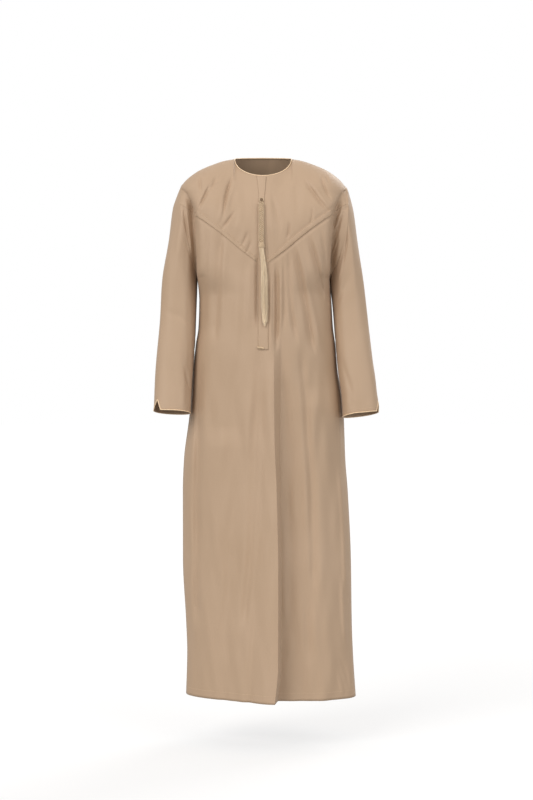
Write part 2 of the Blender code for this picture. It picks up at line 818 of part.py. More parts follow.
# Button at the top of the stem
button_radius = 0.0050
button_height = 0.0035
button_z = stem_top_z + 0.0075
shape = bmesh.new()
bmesh.ops.create_cone(
    shape,
    cap_ends=True,
    segments=16,
    radius1=button_radius,
    radius2=button_radius * 0.7,
    depth=button_height,
)
slope = (placket_face(0, button_z + 0.004) - placket_face(0, button_z - 0.004)) / 0.008
button_axis = Vector((0, -1, slope)).normalized()
turn = Vector((0, 0, 1)).rotation_difference(button_axis).to_matrix()
bmesh.ops.rotate(shape, verts=shape.verts[:], cent=(0, 0, 0), matrix=turn)
button_seat = Vector((0.0005, placket_face(0, button_z), button_z))
button_middle = button_seat + button_axis * (button_height / 2 + rest_gap)
bmesh.ops.translate(shape, verts=shape.verts[:], vec=button_middle)
bmesh.ops.triangulate(shape, faces=shape.faces[:])
finish_object("top_button", shape, button_shell)


def tassel(name, finish):
    """Bound head whose lower face is drawn out into strands."""
    shape = bmesh.new()
    top = stem_low_z - 0.0003
    bmesh.ops.create_grid(shape, x_segments=strand_columns, y_segments=strand_rows, size=0.5)
    for vert in shape.verts:
        u = vert.co.x * 2
        v = vert.co.y * 2
        vert.co = Vector((
            u * head_width / 2 * sqrt(1 - head_roundness * v * v),
            v * head_depth / 2 * sqrt(1 - head_roundness * u * u),
            head_low_z,
        ))
    bmesh.ops.reverse_faces(shape, faces=shape.faces[:])
    lower = shape.faces[:]
    raised = bmesh.ops.extrude_face_region(shape, geom=lower)
    upper = [item for item in raised["geom"] if isinstance(item, bmesh.types.BMVert)]
    upper_faces = [item for item in raised["geom"] if isinstance(item, bmesh.types.BMFace)]
    for vert in upper:
        vert.co.x *= head_top_share
        vert.co.y *= head_top_share
        vert.co.z = top
    bmesh.ops.recalc_face_normals(shape, faces=shape.faces[:])
    bmesh.ops.dissolve_faces(shape, faces=upper_faces)
    shape.faces.ensure_lookup_table()
    roots = [face for face in shape.faces if abs(face.calc_center_median().z - head_low_z) < 1e-6]
    bmesh.ops.inset_individual(shape, faces=roots, thickness=strand_gap / 2)
    fall = (head_low_z - tassel_low_z) / strand_steps
    for face in roots:
        middle = face.calc_center_median()
        column = round((middle.x / head_width + 0.5) * strand_columns)
        row = round((middle.y / head_depth + 0.5) * strand_rows)
        length = 1 - strand_shortening * ((column * 5 + row * 3) % 4)
        length -= corner_shortening * abs(2 * middle.x / head_width) ** 3
        current = face
        for step in range(strand_steps):
            grown = bmesh.ops.extrude_discrete_faces(shape, faces=[current])
            current = grown["faces"][0]
            t = (step + 1) / strand_steps
            spread_out = 1 + tassel_swell * sin(pi * t)
            centre_now = current.calc_center_median()
            target = Vector((
                middle.x * spread_out + tassel_lean * t,
                middle.y * (1 + tassel_depth_swell * t),
                head_low_z - fall * length * (step + 1),
            ))
            for vert in current.verts:
                vert.co += target - centre_now
                if step == strand_steps - 1:
                    vert.co = target + (vert.co - target) * strand_tip_share
    for vert in shape.verts:
        if vert.co.z < top + 1e-6:
            here = stem_middle(vert.co.z, head_depth * 1.2)
            above = stem_middle(vert.co.z + 0.03, head_depth * 1.2)
            vert.co.y += min(here.y, above.y)
            vert.co.x += here.x
    bmesh.ops.triangulate(shape, faces=shape.faces[:])
    return finish_object(name, shape, finish)


tassel("tassel", tassel_silk)
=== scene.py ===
# Thobe robe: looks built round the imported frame, in metres, front towards -Y
import bpy
import bmesh
import numpy as np
from collections import namedtuple
from math import sin, cos, pi, sqrt, radians
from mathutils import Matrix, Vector


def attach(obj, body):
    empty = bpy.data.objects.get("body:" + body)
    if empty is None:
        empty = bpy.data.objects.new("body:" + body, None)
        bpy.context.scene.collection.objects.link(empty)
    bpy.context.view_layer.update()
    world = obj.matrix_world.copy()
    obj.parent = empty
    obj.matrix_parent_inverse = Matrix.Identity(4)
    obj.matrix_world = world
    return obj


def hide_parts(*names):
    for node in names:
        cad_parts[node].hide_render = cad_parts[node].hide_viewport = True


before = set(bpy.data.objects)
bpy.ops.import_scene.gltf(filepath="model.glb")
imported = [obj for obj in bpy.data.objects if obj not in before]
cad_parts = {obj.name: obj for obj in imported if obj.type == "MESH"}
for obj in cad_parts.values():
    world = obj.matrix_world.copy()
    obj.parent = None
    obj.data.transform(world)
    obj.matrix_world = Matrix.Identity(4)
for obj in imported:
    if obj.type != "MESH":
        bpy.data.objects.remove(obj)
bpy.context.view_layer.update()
print("frame loaded:", len(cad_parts), "nodes")

hemZ = -1.39
shoulderTipZ = -0.072
armpitZ = -0.310
neckHalfWidth = 0.0755
neckRise = {"front": -0.052, "back": 0.010}
neckDepth = {"front": 0.072, "back": 0.058}
yokeEdgeAngle = 55.4  # degrees down the armhole where the V seam ends
frontNeck, backNeck, shoulderSteps = 8, 4, 12  # column counts that the cut pieces share


def inMetres(kind, rows):
    # rows of a table are written in millimetres
    return [kind(*(value / 1000 for value in row)) for row in rows]


# outer edges of the worn form, right and left of the wearer
Side = namedtuple("Side", "z right left")
bodySide = inMetres(Side, [
    (-310, 170, 172), (-370, 165, 177), (-436, 167, 181), (-482, 174, 187), (-550, 181, 193),
    (-615, 186, 204), (-670, 191, 209), (-781, 205, 213), (-860, 208, 219), (-1040, 208, 227),
    (-1200, 200, 229), (-1280, 197, 232), (-1390, 200, 239)])
armholeSide = inMetres(Side, [
    (-60, 213, 215), (-90, 213, 218), (-130, 212, 219), (-160, 208, 217), (-186, 200, 214),
    (-228, 191, 205), (-277, 179, 189), (-310, 170, 172)])
sleeveOuter = inMetres(Side, [
    (-72, 213, 216), (-92, 221, 224), (-131, 234, 234), (-209, 244, 244), (-313, 260, 257),
    (-417, 266, 270), (-521, 275, 283), (-573, 278, 291), (-670, 281, 299)])
sleeveInner = inMetres(Side, [
    (-72, 168, 172), (-310, 171, 174), (-370, 172.5, 180), (-450, 174.5, 185), (-550, 180, 193.5),
    (-615, 184, 201.5), (-670, 186.5, 204.5)])
Depth = namedtuple("Depth", "z front back square")
bodyDepth = [
    Depth(0.020, 0.105, 0.110, 2.3), Depth(-0.060, 0.112, 0.120, 2.3), Depth(-0.200, 0.125, 0.126, 2.5),
    Depth(-0.320, 0.129, 0.124, 2.5), Depth(-0.450, 0.130, 0.124, 2.4), Depth(-0.600, 0.124, 0.130, 2.3),
    Depth(-0.800, 0.112, 0.136, 2.2), Depth(-1.000, 0.104, 0.139, 2.1), Depth(-1.390, 0.100, 0.142, 2.0)]
chestCorner = inMetres(Side, [
    (-50, 245, 245), (-75, 216, 220), (-98, 193, 199), (-140, 178, 183), (-200, 173, 177),
    (-310, 170, 172)])
Arm = namedtuple("Arm", "z halfDepth forward")
armDepth = inMetres(Arm, [
    (-72, 66, 0), (-190, 69, 2), (-360, 62, 10), (-500, 55, 30), (-670, 49, 54)])
Across = namedtuple("Across", "x z")
yokeSeam = inMetres(Across, [
    (0, -284), (50, -243.5), (100, -201.5), (170, -150), (214, -122.5)])
shoulderLine = inMetres(Across, [
    (75.5, 0), (99, -4), (130, -14), (161, -27), (182, -40), (200, -55),
    (214, -72)])

# long front fold: where its edge runs, how far it stands out, how wide its return is
FrontFold = namedtuple("FrontFold", "z edge height start shoulder foot")
frontFold = inMetres(FrontFold, [
    (-420, 26, 0, -60, -4, 20), (-500, 26.8, 12, -70, -1, 19), (-600, 28, 24, -80, -2, 17),
    (-728, 29.4, 33, -85, -3, 14), (-857, 34.7, 39, -90, -4, 10), (-1074, 38.8, 48, -100, -20, 8),
    (-1300, 38, 54, -115, -30, 8), (-1390, 30, 56, -120, -34, 8)])

# creases given one by one: three points, width each side of the line, height (below zero is a trough)
Crease = namedtuple("Crease", "x0 z0 x1 z1 x2 z2 leftWidth rightWidth height")
creases = {
    "front": inMetres(Crease, [
        # fan of folds under the V seam
        (79, -230, 100, -335, 131, -510, 10.5, 4.5, -9.2),
        (88, -238, 113, -335, 146, -500, 4.8, 8, 4.6),
        (112, -200, 132, -262, 158, -380, 8.5, 4.5, -7.8),
        (124, -205, 146, -275, 168, -380, 5, 6, 3),
        (66, -246, 70, -347, 86, -480, 6.8, 3.8, -6.8),
        (51, -258, 54, -330, 52, -450, 4, 4.8, -4.4),
        (33, -280, 34.5, -355, 33, -500, 4.2, 5.8, -8.2),
        (22, -300, 20.5, -380, 21, -520, 4, 4, 3.4),
        (44, -300, 45, -360, 43, -470, 4, 4, 2.6),
        (62, -268, 67, -320, 82, -430, 4, 5, 2.8),
        (-14, -250, -13.5, -340, -14.5, -452, 6, 4, -8),
        (-34, -280, -36, -350, -38, -450, 7, 7, 3),
        (-104, -198, -113, -310, -122, -480, 11, 7, -6),
        (-94, -215, -100, -320, -106, -460, 6, 8, 2.6),
        (-140, -190, -146, -310, -150, -450, 9, 6, -3.6),
        (-60, -300, -66, -420, -62, -560, 12, 16, 2.6),
        (146, -190, 160, -280, 164, -400, 5, 5, -4.5),
        # shoulder to V seam, wearer's right
        (-76, -46, -89, -88, -100, -160, 5, 2.6, -7.5),
        (-68, -64, -80, -94, -92, -150, 2.6, 6, 3),
        (-105, -40, -116, -62, -130, -88, 4, 3, -2.6),
        (-118, -44, -125, -72, -140, -100, 5, 2.8, -3.6),
        (-136, -74, -150, -108, -165, -142, 2.6, 5, -6.6),
        (-160, -48, -161, -70, -156, -96, 4, 3, -4.5),
        (-72, -148, -88, -172, -103, -194, 4, 2.6, -5.2),
        (-40, -200, -46, -222, -56, -240, 4, 2.6, -4),
        (-30, -220, -36, -240, -46, -258, 2.8, 3, -2.8),
        (-98, -110, -103, -140, -112, -176, 6, 4, 2.8),
        (-52, -120, -60, -170, -74, -215, 7, 9, 1.6),
        # shoulder to V seam, wearer's left
        (106, -58, 140, -112, 171, -152, 6, 3, -6.2),
        (120, -62, 152, -112, 174, -146, 3, 5, 2.6),
        (150, -50, 156, -78, 176, -120, 4, 2.6, -5),
        (160, -44, 164, -58, 170, -74, 3, 3, -2.2),
        (124, -134, 125, -160, 118, -186, 4, 3, -3.4),
        (66, -172, 66, -198, 60, -222, 4, 2.6, -4),
        (21, -96, 36, -150, 46, -210, 8, 5, -3.6),
        (16, -70, 18, -120, 30, -230, 5, 6, 1.6),
        (80, -60, 86, -110, 92, -170, 10, 8, -1.6),
        # where the chest panel turns back beside the arm
        (-190, -92, -178, -136, -172.5, -300, 4, 6, -7.5),
        (182, -120, 176.5, -190, 173.5, -300, 6, 4, -7),
        # gathers between the chest's edge and the sleeve
        (179, -238, 189, -202, 199, -165, 2.6, 3.6, -5.2),
        (180, -212, 192, -178, 205, -140, 2.6, 3.6, -5.6),
        (179, -188, 190, -158, 202, -118, 2.6, 3, -4.8),
        (180, -268, 187, -238, 194, -204, 2.6, 3.6, -4.6),
        (-203, -120, -196, -190, -184, -250, 3, 3.6, -4.6),
        (-196, -140, -188, -200, -179, -262, 3, 3, 2.6),
        # skirt, front
        (-100, -700, -115, -1000, -125, -1395, 42, 38, 8),
        (135, -600, 145, -950, 150, -1395, 36, 34, 8),
        (52, -560, 66, -860, 70, -1250, 12, 16, -5),
        (96, -500, 118, -760, 128, -1100, 8, 10, -5.2),
        (88, -560, 104, -780, 112, -1050, 8, 10, 2.6),
        (-12, -500, -20, -800, -46, -1200, 14, 7, -4.2),
        (-34, -600, -40, -850, -66, -1250, 16, 10, 2.6),
        (-160, -520, -168, -800, -170, -1200, 8, 10, -6.2),
        (-176, -620, -184, -860, -182, -1250, 8, 8, 3),
        (190, -540, 203, -680, 206, -820, 6, 6, -4),
        (196, -800, 207, -960, 212, -1120, 7, 6, 5),
        (202, -1080, 206, -1170, 214, -1260, 6, 7, 4.6),
        (192, -620, 198, -700, 200, -780, 4, 5, 3),
        (200, -1290, 214, -1330, 222, -1370, 6, 6, -3.6),
        (186, -1310, 198, -1345, 204, -1388, 6, 5, 3),
        (110, -1050, 112, -1180, 118, -1300, 10, 14, -2.8),
        (-80, -980, -90, -1140, -96, -1300, 14, 10, -2.8)]),
    "back": inMetres(Crease, [
        (-120, -500, -135, -900, -140, -1395, 32, 28, 14.5),
        (-45, -420, -55, -900, -50, -1395, 28, 24, 17),
        (35, -480, 40, -900, 50, -1395, 26, 30, 15.5),
        (120, -420, 130, -900, 145, -1395, 32, 28, 13.5),
        (-90, -150, -100, -300, -115, -470, 15, 9, -9),
        (95, -140, 105, -290, 125, -460, 10, 15, -8),
        (-10, -90, 4, -260, -6, -480, 12, 8, -5.2),
        (40, -200, 52, -340, 50, -500, 8, 12, -4.4),
        (-46, -220, -52, -330, -64, -480, 10, 7, -4),
        (-156, -60, -140, -110, -116, -170, 5, 4, -5.2),
        (146, -58, 134, -110, 106, -160, 4, 5, -5),
        (168, -74, 158, -116, 140, -160, 4, 4, -3.6),
        (-180, -140, -162, -220, -140, -310, 5, 4, -6.6),
        (-184, -190, -166, -260, -150, -340, 5, 4, -4.8),
        (184, -140, 165, -215, 148, -310, 4, 5, -6.4),
        (182, -200, 170, -260, 158, -350, 4, 5, -4.6),
        (60, -400, 72, -560, 80, -760, 10, 12, 4),
        (-85, -380, -92, -560, -90, -740, 12, 9, 4.4),
        (14, -520, 10, -660, 14, -820, 9, 7, -4.6),
        (-130, -560, -120, -700, -124, -860, 7, 9, -4),
        (-5, -700, -2, -1000, 2, -1395, 10, 12, -10.5),
        (90, -760, 94, -1050, 98, -1395, 12, 10, -10),
        (-95, -720, -98, -1050, -100, -1395, 10, 12, -8),
        (178, -620, 186, -860, 190, -1200, 8, 10, -5),
        (-172, -560, -176, -900, -168, -1250, 10, 8, -5)])}

# sleeve creases: angle round the arm in degrees (0 outside, 90 front, 180 inside), the rest in metres
ArmCrease = namedtuple("ArmCrease", "a0 z0 a1 z1 a2 z2 width height")
armCreases = {
    "right": [ArmCrease(*row) for row in [  # soft in front, deeper behind the elbow
        (84, -0.13, 112, -0.2, 146, -0.28, 0.005, -0.0048),
        (96, -0.205, 126, -0.262, 162, -0.32, 0.005, -0.004),
        (60, -0.17, 84, -0.26, 98, -0.36, 0.01, 0.002),
        (74, -0.392, 104, -0.418, 142, -0.436, 0.009, -0.0018),
        (120, -0.54, 134, -0.572, 158, -0.6, 0.006, -0.003),
        (96, -0.47, 104, -0.54, 108, -0.62, 0.012, 0.0018),
        (22, -0.25, 32, -0.38, 40, -0.54, 0.014, 0.0026),
        (250, -0.18, 240, -0.29, 255, -0.4, 0.008, -0.005),
        (282, -0.14, 262, -0.22, 232, -0.3, 0.006, -0.0046),
        (302, -0.355, 250, -0.41, 208, -0.446, 0.007, -0.0054),
        (292, -0.425, 250, -0.452, 200, -0.462, 0.0055, -0.0048),
        (284, -0.476, 246, -0.482, 204, -0.5, 0.0055, -0.0036),
        (322, -0.47, 300, -0.55, 276, -0.63, 0.008, -0.0036)]],
    "left": [ArmCrease(*row) for row in [
        (116, -0.13, 100, -0.2, 124, -0.28, 0.005, -0.0056),
        (78, -0.15, 92, -0.225, 120, -0.3, 0.005, -0.005),
        (98, -0.18, 108, -0.26, 130, -0.33, 0.0044, 0.003),
        (60, -0.17, 70, -0.27, 80, -0.38, 0.01, 0.0022),
        (86, -0.3, 112, -0.352, 150, -0.392, 0.008, -0.0022),
        (132, -0.52, 122, -0.566, 104, -0.62, 0.009, -0.0018),
        (30, -0.22, 25, -0.35, 35, -0.5, 0.014, 0.0026),
        (244, -0.18, 256, -0.28, 240, -0.39, 0.008, -0.005),
        (286, -0.15, 268, -0.23, 238, -0.31, 0.006, -0.0044),
        (312, -0.362, 260, -0.402, 206, -0.438, 0.007, -0.0052),
        (286, -0.44, 244, -0.456, 198, -0.47, 0.0055, -0.0046),
        (280, -0.486, 240, -0.494, 204, -0.508, 0.0055, -0.0034),
        (332, -0.49, 300, -0.555, 282, -0.62, 0.008, -0.0036)]]}

Cuff = namedtuple("Cuff", "name side outerZ innerZ notchAngle notchFront notchBack notchHeight")
cuffs = [Cuff("right", -1, -0.646, -0.651, 46.2, 15.0, 36.0, 0.026),
         Cuff("left", 1, -0.648, -0.661, 18.5, 21.0, 30.0, 0.026)]
cuffBackDrop = 0.012


def lookUp(table, column, at, key="z"):
    # smooth column of a table at many places
    places = np.array([getattr(row, key) for row in table])
    values = np.array([getattr(row, column) for row in table])
    order = np.argsort(places)
    places, values = places[order], values[order]
    slopes = np.diff(values) / np.diff(places)
    tangents = np.zeros(len(places))
    tangents[0], tangents[-1] = slopes[0], slopes[-1]
    before, after = slopes[:-1], slopes[1:]
    together = before * after
    safe = np.where(together > 0, before + after, 1.0)
    tangents[1:-1] = np.where(together > 0, 2 * together / safe, 0.0)
    at = np.clip(np.asarray(at, dtype=float), places[0], places[-1])
    i = np.clip(np.searchsorted(places, at, side="right") - 1, 0, len(places) - 2)
    step = places[i + 1] - places[i]
    t = (at - places[i]) / step
    return (values[i] * (1 + 2 * t) * (1 - t) ** 2 + step * tangents[i] * t * (1 - t) ** 2
            + values[i + 1] * t * t * (3 - 2 * t) - step * tangents[i + 1] * t * t * (1 - t))


def smoothStep(low, high, value):
    t = np.clip((value - low) / (high - low), 0.0, 1.0)
    return t * t * (3 - 2 * t)


def bySide(table, x, z):
    return np.where(x >= 0, lookUp(table, "left", z), lookUp(table, "right", z))


def edgeX(x, z):
    return np.where(z > armpitZ, bySide(armholeSide, x, z), bySide(bodySide, x, z))


creaseLook = {"fade": 0.05, "deepFade": 0.16, "deepFrom": 0.0105, "fadeShare": 0.4, "runOut": 0.25}


def bowed(start, middle, end, share, middleShare):
    # place on a line that bows through its middle point
    bow = middle - (start + (end - start) * middleShare)
    return start + (end - start) * share + bow * share * (1 - share) / (middleShare * (1 - middleShare))


def creaseHeight(face, x, z):
    total = np.zeros_like(x)
    for c in creases[face]:
        run = c.z0 - c.z2
        way = 1 if run > 0 else -1
        middle = bowed(c.x0, c.x1, c.x2, np.clip((c.z0 - z) / run, 0.0, 1.0), (c.z0 - c.z1) / run)
        slant = 1 / sqrt(1 + ((c.x2 - c.x0) / run) ** 2)  # width is measured square to the line
        longest = creaseLook["deepFade" if c.height > creaseLook["deepFrom"] else "fade"]
        fadeLength = min(longest, abs(run) * creaseLook["fadeShare"])
        runOut = creaseLook["runOut"] * fadeLength
        fade = smoothStep(c.z0 + way * runOut, c.z0 - way * fadeLength, z)
        if c.z2 > hemZ:
            fade = fade * smoothStep(c.z2 - way * runOut, c.z2 + way * fadeLength, z)
        away = (x - middle) * slant
        width = np.where(away < 0, c.leftWidth, c.rightWidth)
        total += c.height * fade * np.exp(-(away / width) ** 2)
    return total


unevenLook = {"waves": 34, "height": 0.00040, "skirtHeight": 0.00080, "skirtFrom": (-0.35, -0.75),
              "across": (0.026, 0.085), "down": (0.16, 0.70)}


def unevenWaves(seed):
    rng = np.random.default_rng(seed)
    count = unevenLook["waves"]
    across = 2 * pi / rng.uniform(*unevenLook["across"], count)
    down = 2 * pi / rng.uniform(*unevenLook["down"], count) * rng.choice((-1, 1), count)
    return across, down, rng.uniform(0, 2 * pi, count)


waveSeeds = {"front": 11, "back": 23, "right": 31, "left": 47}
waveSets = {name: unevenWaves(seed) for name, seed in waveSeeds.items()}


def uneven(name, along, z):
    # slow waves of many lengths, so no stretch of cloth is quite flat
    across, down, phase = waveSets[name]
    total = np.zeros_like(z)
    for a, d, p in zip(across, down, phase):
        total += np.sin(a * along + d * z + p)
    skirt = smoothStep(*unevenLook["skirtFrom"], z)
    height = unevenLook["height"] + (unevenLook["skirtHeight"] - unevenLook["height"]) * skirt
    return total * height * sqrt(2 / unevenLook["waves"])


def frontFoldHeight(x, z):
    edge = lookUp(frontFold, "edge", z)
    height = np.where(z > frontFold[0].z, 0.0, lookUp(frontFold, "height", z))
    start = lookUp(frontFold, "start", z)
    shoulder = lookUp(frontFold, "shoulder", z)
    foot = lookUp(frontFold, "foot", z)
    rising = 0.5 * smoothStep(0.0, 1.0, (x - start) / (shoulder - start))
    crown = 0.5 + 0.5 * np.sin(pi / 2 * np.clip((x - shoulder) / (edge - shoulder), 0, 1))
    falling = 1 - np.clip((x - edge) / foot, 0, 1)
    share = np.where(x < shoulder, rising, np.where(x < edge, crown, falling))
    return height * share


def neckRound(x):
    return np.sqrt(np.clip(1 - (x / neckHalfWidth) ** 2, 0.0, 1.0))


formLook = {
    "armholeDepth": 0.075, "armholeBlendShare": 0.80, "armpitBlend": 0.060,
    "shoulderReach": 0.118, "centreReach": 0.10, "centreSoftness": 0.4, "centreSoft": (0.02, 0.19),
    "neckBlendHeight": 0.075, "neckBlendHalfWidth": 0.10,
    "chestSquareness": 1.3, "chestSquareTop": (-0.095, -0.140), "chestSquareLow": (-0.360, -0.280),
    "hollowDepth": 0.011, "hollowTop": (-0.090, -0.140), "hollowLow": -0.27,
    "hollowOffset": 0.005, "hollowWidth": 0.007, "hemTurn": -0.09, "hemTurnFrom": -0.5,
    "reliefFade": 0.35, "reliefEdge": 6, "reliefRound": (0.05, 0.5),
}
# the V seam draws the cloth in under and over its band
troughLook = {
    "depth": 0.0022, "width": 0.0030, "slope": 0.76, "under": 0.0080, "over": 0.0075, "overShare": 0.45,
    "leftFrom": 0.060, "rightShare": 0.15, "rightEdgeShare": 0.5, "rightEdge": (-0.11, -0.16),
}


def sideDepth(x, z):
    # depth at the body's side: the armhole's own at its edge, easing out below it further in
    middle = (shoulderTipZ + armpitZ) / 2
    down = np.clip((middle - z) / (middle - armpitZ), 0.0, 1.0)
    atEdge = np.where(z > armpitZ, formLook["armholeDepth"] * np.sqrt(1 - down * down), 0.0)
    eased = formLook["armholeDepth"] * smoothStep(armpitZ - formLook["armpitBlend"], middle, z)
    near = smoothStep(formLook["armholeBlendShare"], 1.0, np.abs(x) / edgeX(x, z))
    return eased + (atEdge - eased) * near


def shoulderTop(face, x, z, depth, reach, power):
    # height at which the shoulder's round closes, so that the neckline lies on the surface
    share = np.clip(neckRound(x) * neckDepth[face] / np.maximum(depth, 1e-4), 0.0, 1.0)
    neckline = neckRise[face] * neckRound(x)
    line = lookUp(shoulderLine, "z", np.maximum(np.abs(x), neckHalfWidth), key="x")
    inside = np.abs(x) < neckHalfWidth
    exact = np.where(inside, neckline + reach * (1 - (1 - share ** power) ** (1 / power)), line)
    neckline = np.where(inside, neckline, line)
    centrePower = 2.0 - formLook["centreSoftness"]
    centreShare = neckDepth[face] / float(lookUp(bodyDepth, face, neckRise[face]))
    crown = neckRise[face] + (formLook["shoulderReach"] + formLook["centreReach"]) * (
        1 - (1 - centreShare ** centrePower) ** (1 / centrePower))
    eased = line + crown * np.clip(1 - (x / formLook["neckBlendHalfWidth"]) ** 2, 0.0, 1.0) ** 2
    return exact + (eased - exact) * smoothStep(0.0, formLook["neckBlendHeight"], neckline - z)


def bodyY(face, x, z):
    # depth of the worn cloth at a place seen from the front
    x = np.asarray(x, dtype=float)
    z = np.asarray(z, dtype=float)
    above = z > armpitZ
    corner = np.where(above, bySide(chestCorner, x, z), bySide(bodySide, x, z))
    edge = sideDepth(x, z)
    deep = lookUp(bodyDepth, face, z)
    square = lookUp(bodyDepth, "square", z)
    if face == "front":  # the chest panel turns back sharply beside the arm
        chest = smoothStep(*formLook["chestSquareTop"], z) * smoothStep(*formLook["chestSquareLow"], z)
        square = square + formLook["chestSquareness"] * chest
    across = np.clip(np.abs(x) / corner, 0.0, 1.0)
    roundOff = (1 - across ** square) ** (1 / square)
    depth = edge + (deep - edge) * roundOff
    if face == "front":
        hollow = smoothStep(*formLook["hollowTop"], z) * smoothStep(armpitZ, formLook["hollowLow"], z)
        away = (np.abs(x) - corner - formLook["hollowOffset"]) / formLook["hollowWidth"]
        depth = depth - formLook["hollowDepth"] * hollow * np.exp(-away ** 2)
    centreShare = 1 - smoothStep(*formLook["centreSoft"], np.abs(x))
    reach = formLook["shoulderReach"] + formLook["centreReach"] * centreShare
    power = 2.0 - formLook["centreSoftness"] * centreShare
    top = shoulderTop(face, x, z, depth, reach, power)
    below = np.clip((top - z) / reach, 0.0, 1.0)
    rounding = (1 - (1 - below) ** power) ** (1 / power)
    depth = depth * rounding
    relief = creaseHeight(face, x, z) + uneven(face, x, z)
    if face == "front":
        relief = relief - seamTrough(x, z)
    inward = smoothStep(0.0, formLook["reliefFade"], roundOff + edge * formLook["reliefEdge"])
    depth = depth + relief * inward * smoothStep(*formLook["reliefRound"], rounding)
    if face == "front":
        depth = depth + frontFoldHeight(x, z)
    turn = formLook["hemTurn"] * x * smoothStep(formLook["hemTurnFrom"], hemZ, z)
    return turn + (depth if face == "back" else -depth)


def seamTrough(x, z):
    # deeper on the wearer's left
    look = troughLook
    away = (z - lookUp(yokeSeam, "z", np.abs(x), key="x")) * look["slope"]  # square to the seam
    under = np.exp(-((away + look["under"]) / look["width"]) ** 2)
    over = look["overShare"] * np.exp(-((away - look["over"]) / look["width"]) ** 2)
    right = look["rightShare"] + look["rightEdgeShare"] * smoothStep(*look["rightEdge"], x)
    strong = np.where(x > 0, smoothStep(0.0, look["leftFrom"], x), right)
    return look["depth"] * strong * (under + over)


frontColumns = frontNeck + shoulderSteps
backColumns = backNeck + shoulderSteps
yokeEdgeZ = (shoulderTipZ + armpitZ) / 2 + (shoulderTipZ - armpitZ) / 2 * cos(radians(yokeEdgeAngle))

# how the grids' columns and rows lie over the cut pieces
gridLook = {
    "evenShare": 0.4, "seamEdge": 0.9, "yokeRows": 1.6, "yokeEdge": 0.985,
    "pullDown": 0.08, "pullColumns": 2.6, "foldColumn": 2.0, "tuck": 0.0016, "tuckSpan": (0.0012, -0.0010),
    "backRows": 1.5, "backSpread": 0.12, "backEdge": 0.97,
}


def spreadShare(place, columns):
    u = np.abs(place) / columns
    even = gridLook["evenShare"]
    return np.sign(place) * (even * u + (1 - even) * np.sin(pi / 2 * u))


def topLine(face, place, neckColumns):
    # shoulder seam and neckline, at a column of the cut pieces
    u = np.abs(place)
    sign = np.where(place >= 0, 1.0, -1.0)
    tip = edgeX(sign, np.full_like(u, shoulderTipZ))
    neckX = neckHalfWidth * np.sin(pi / 2 * np.clip(u / neckColumns, 0, 1))
    seamX = neckHalfWidth + (tip - neckHalfWidth) * np.clip((u - neckColumns) / shoulderSteps, 0, 1)
    x = np.where(u <= neckColumns, neckX, seamX)
    z = np.where(u < neckColumns, neckRise[face] * neckRound(x), lookUp(shoulderLine, "z", x, key="x"))
    return x * sign, z


def seamLine(place):
    sign = np.where(place >= 0, 1.0, -1.0)
    x = spreadShare(place, frontColumns) * edgeX(sign, np.full_like(place, yokeEdgeZ))
    z = lookUp(yokeSeam, "z", np.abs(x), key="x")
    edge = smoothStep(gridLook["seamEdge"], 1.0, np.abs(place) / frontColumns)
    return x, z + (yokeEdgeZ - z) * edge


def yokePoint(place, t):
    x0, z0 = topLine("front", place, frontNeck)
    x1, z1 = seamLine(place)
    t = t ** gridLook["yokeRows"]  # closer rows over the shoulder's round
    x = x0 + (x1 - x0) * t
    z = z0 + (z1 - z0) * t
    atEdge = smoothStep(gridLook["yokeEdge"], 1.0, np.abs(place) / frontColumns)
    x = x + (np.sign(place) * edgeX(place, z) - x) * atEdge
    return x, bodyY("front", x, z), z


def frontPoint(place, t):
    x1, z1 = seamLine(place)
    zEdge = yokeEdgeZ + (hemZ - yokeEdgeZ) * t
    z = z1 + (hemZ - z1) * t
    halfWidth = edgeX(place, zEdge)
    x = spreadShare(place, frontColumns) * halfWidth
    # columns crowd onto the long fold's edge and return
    pull = smoothStep(frontFold[0].z, frontFold[0].z - gridLook["pullDown"], z)
    edge = lookUp(frontFold, "edge", z)
    foldColumn = np.full_like(place, gridLook["foldColumn"])
    natural = spreadShare(foldColumn, frontColumns) * edgeX(np.ones_like(place), zEdge)
    x = x + (edge - natural) * pull * np.exp(-((place - foldColumn) / gridLook["pullColumns"]) ** 2)
    tuck = gridLook["tuck"] * smoothStep(*gridLook["tuckSpan"], t)
    return x, bodyY("front", x, z) + tuck, z


def backPoint(place, t):
    zEdge = shoulderTipZ + (hemZ - shoulderTipZ) * t ** gridLook["backRows"]
    share = (zEdge - shoulderTipZ) / (hemZ - shoulderTipZ)
    x0, z0 = topLine("back", place, backNeck)
    z = z0 + (hemZ - z0) * share
    x1 = spreadShare(place, backColumns) * edgeX(place, zEdge)
    x = x0 + (x1 - x0) * smoothStep(0.0, gridLook["backSpread"], share)
    atEdge = smoothStep(gridLook["backEdge"], 1.0, np.abs(place) / backColumns)
    x = x + (x1 - x) * atEdge
    return x, bodyY("back", x, z), z


sleeveLook = {
    "frontSquare": 2.7, "backSquare": 2.2, "holdShare": 0.35,
    "unevenShare": 0.8, "unevenWide": 0.05, "unevenDeep": 0.04,
    "reach": 0.05, "creaseEdge": 0.01, "creaseFade": 0.4, "headFade": 0.06, "cuffFade": 0.93,
}


def armSection(cuff, angle, z):
    outer = lookUp(sleeveOuter, cuff.name, z)
    inner = lookUp(sleeveInner, cuff.name, z)
    halfDepth = lookUp(armDepth, "halfDepth", z)
    forward = lookUp(armDepth, "forward", z)
    c, s = np.cos(np.radians(angle)), np.sin(np.radians(angle))
    square = np.where(s > 0, sleeveLook["frontSquare"], sleeveLook["backSquare"])
    out = np.abs(c) ** (2 / square) * np.sign(c)
    ahead = np.abs(s) ** (2 / square) * np.sign(s)
    x = (outer + inner) / 2 + (outer - inner) / 2 * out
    return cuff.side * x, -forward - halfDepth * ahead


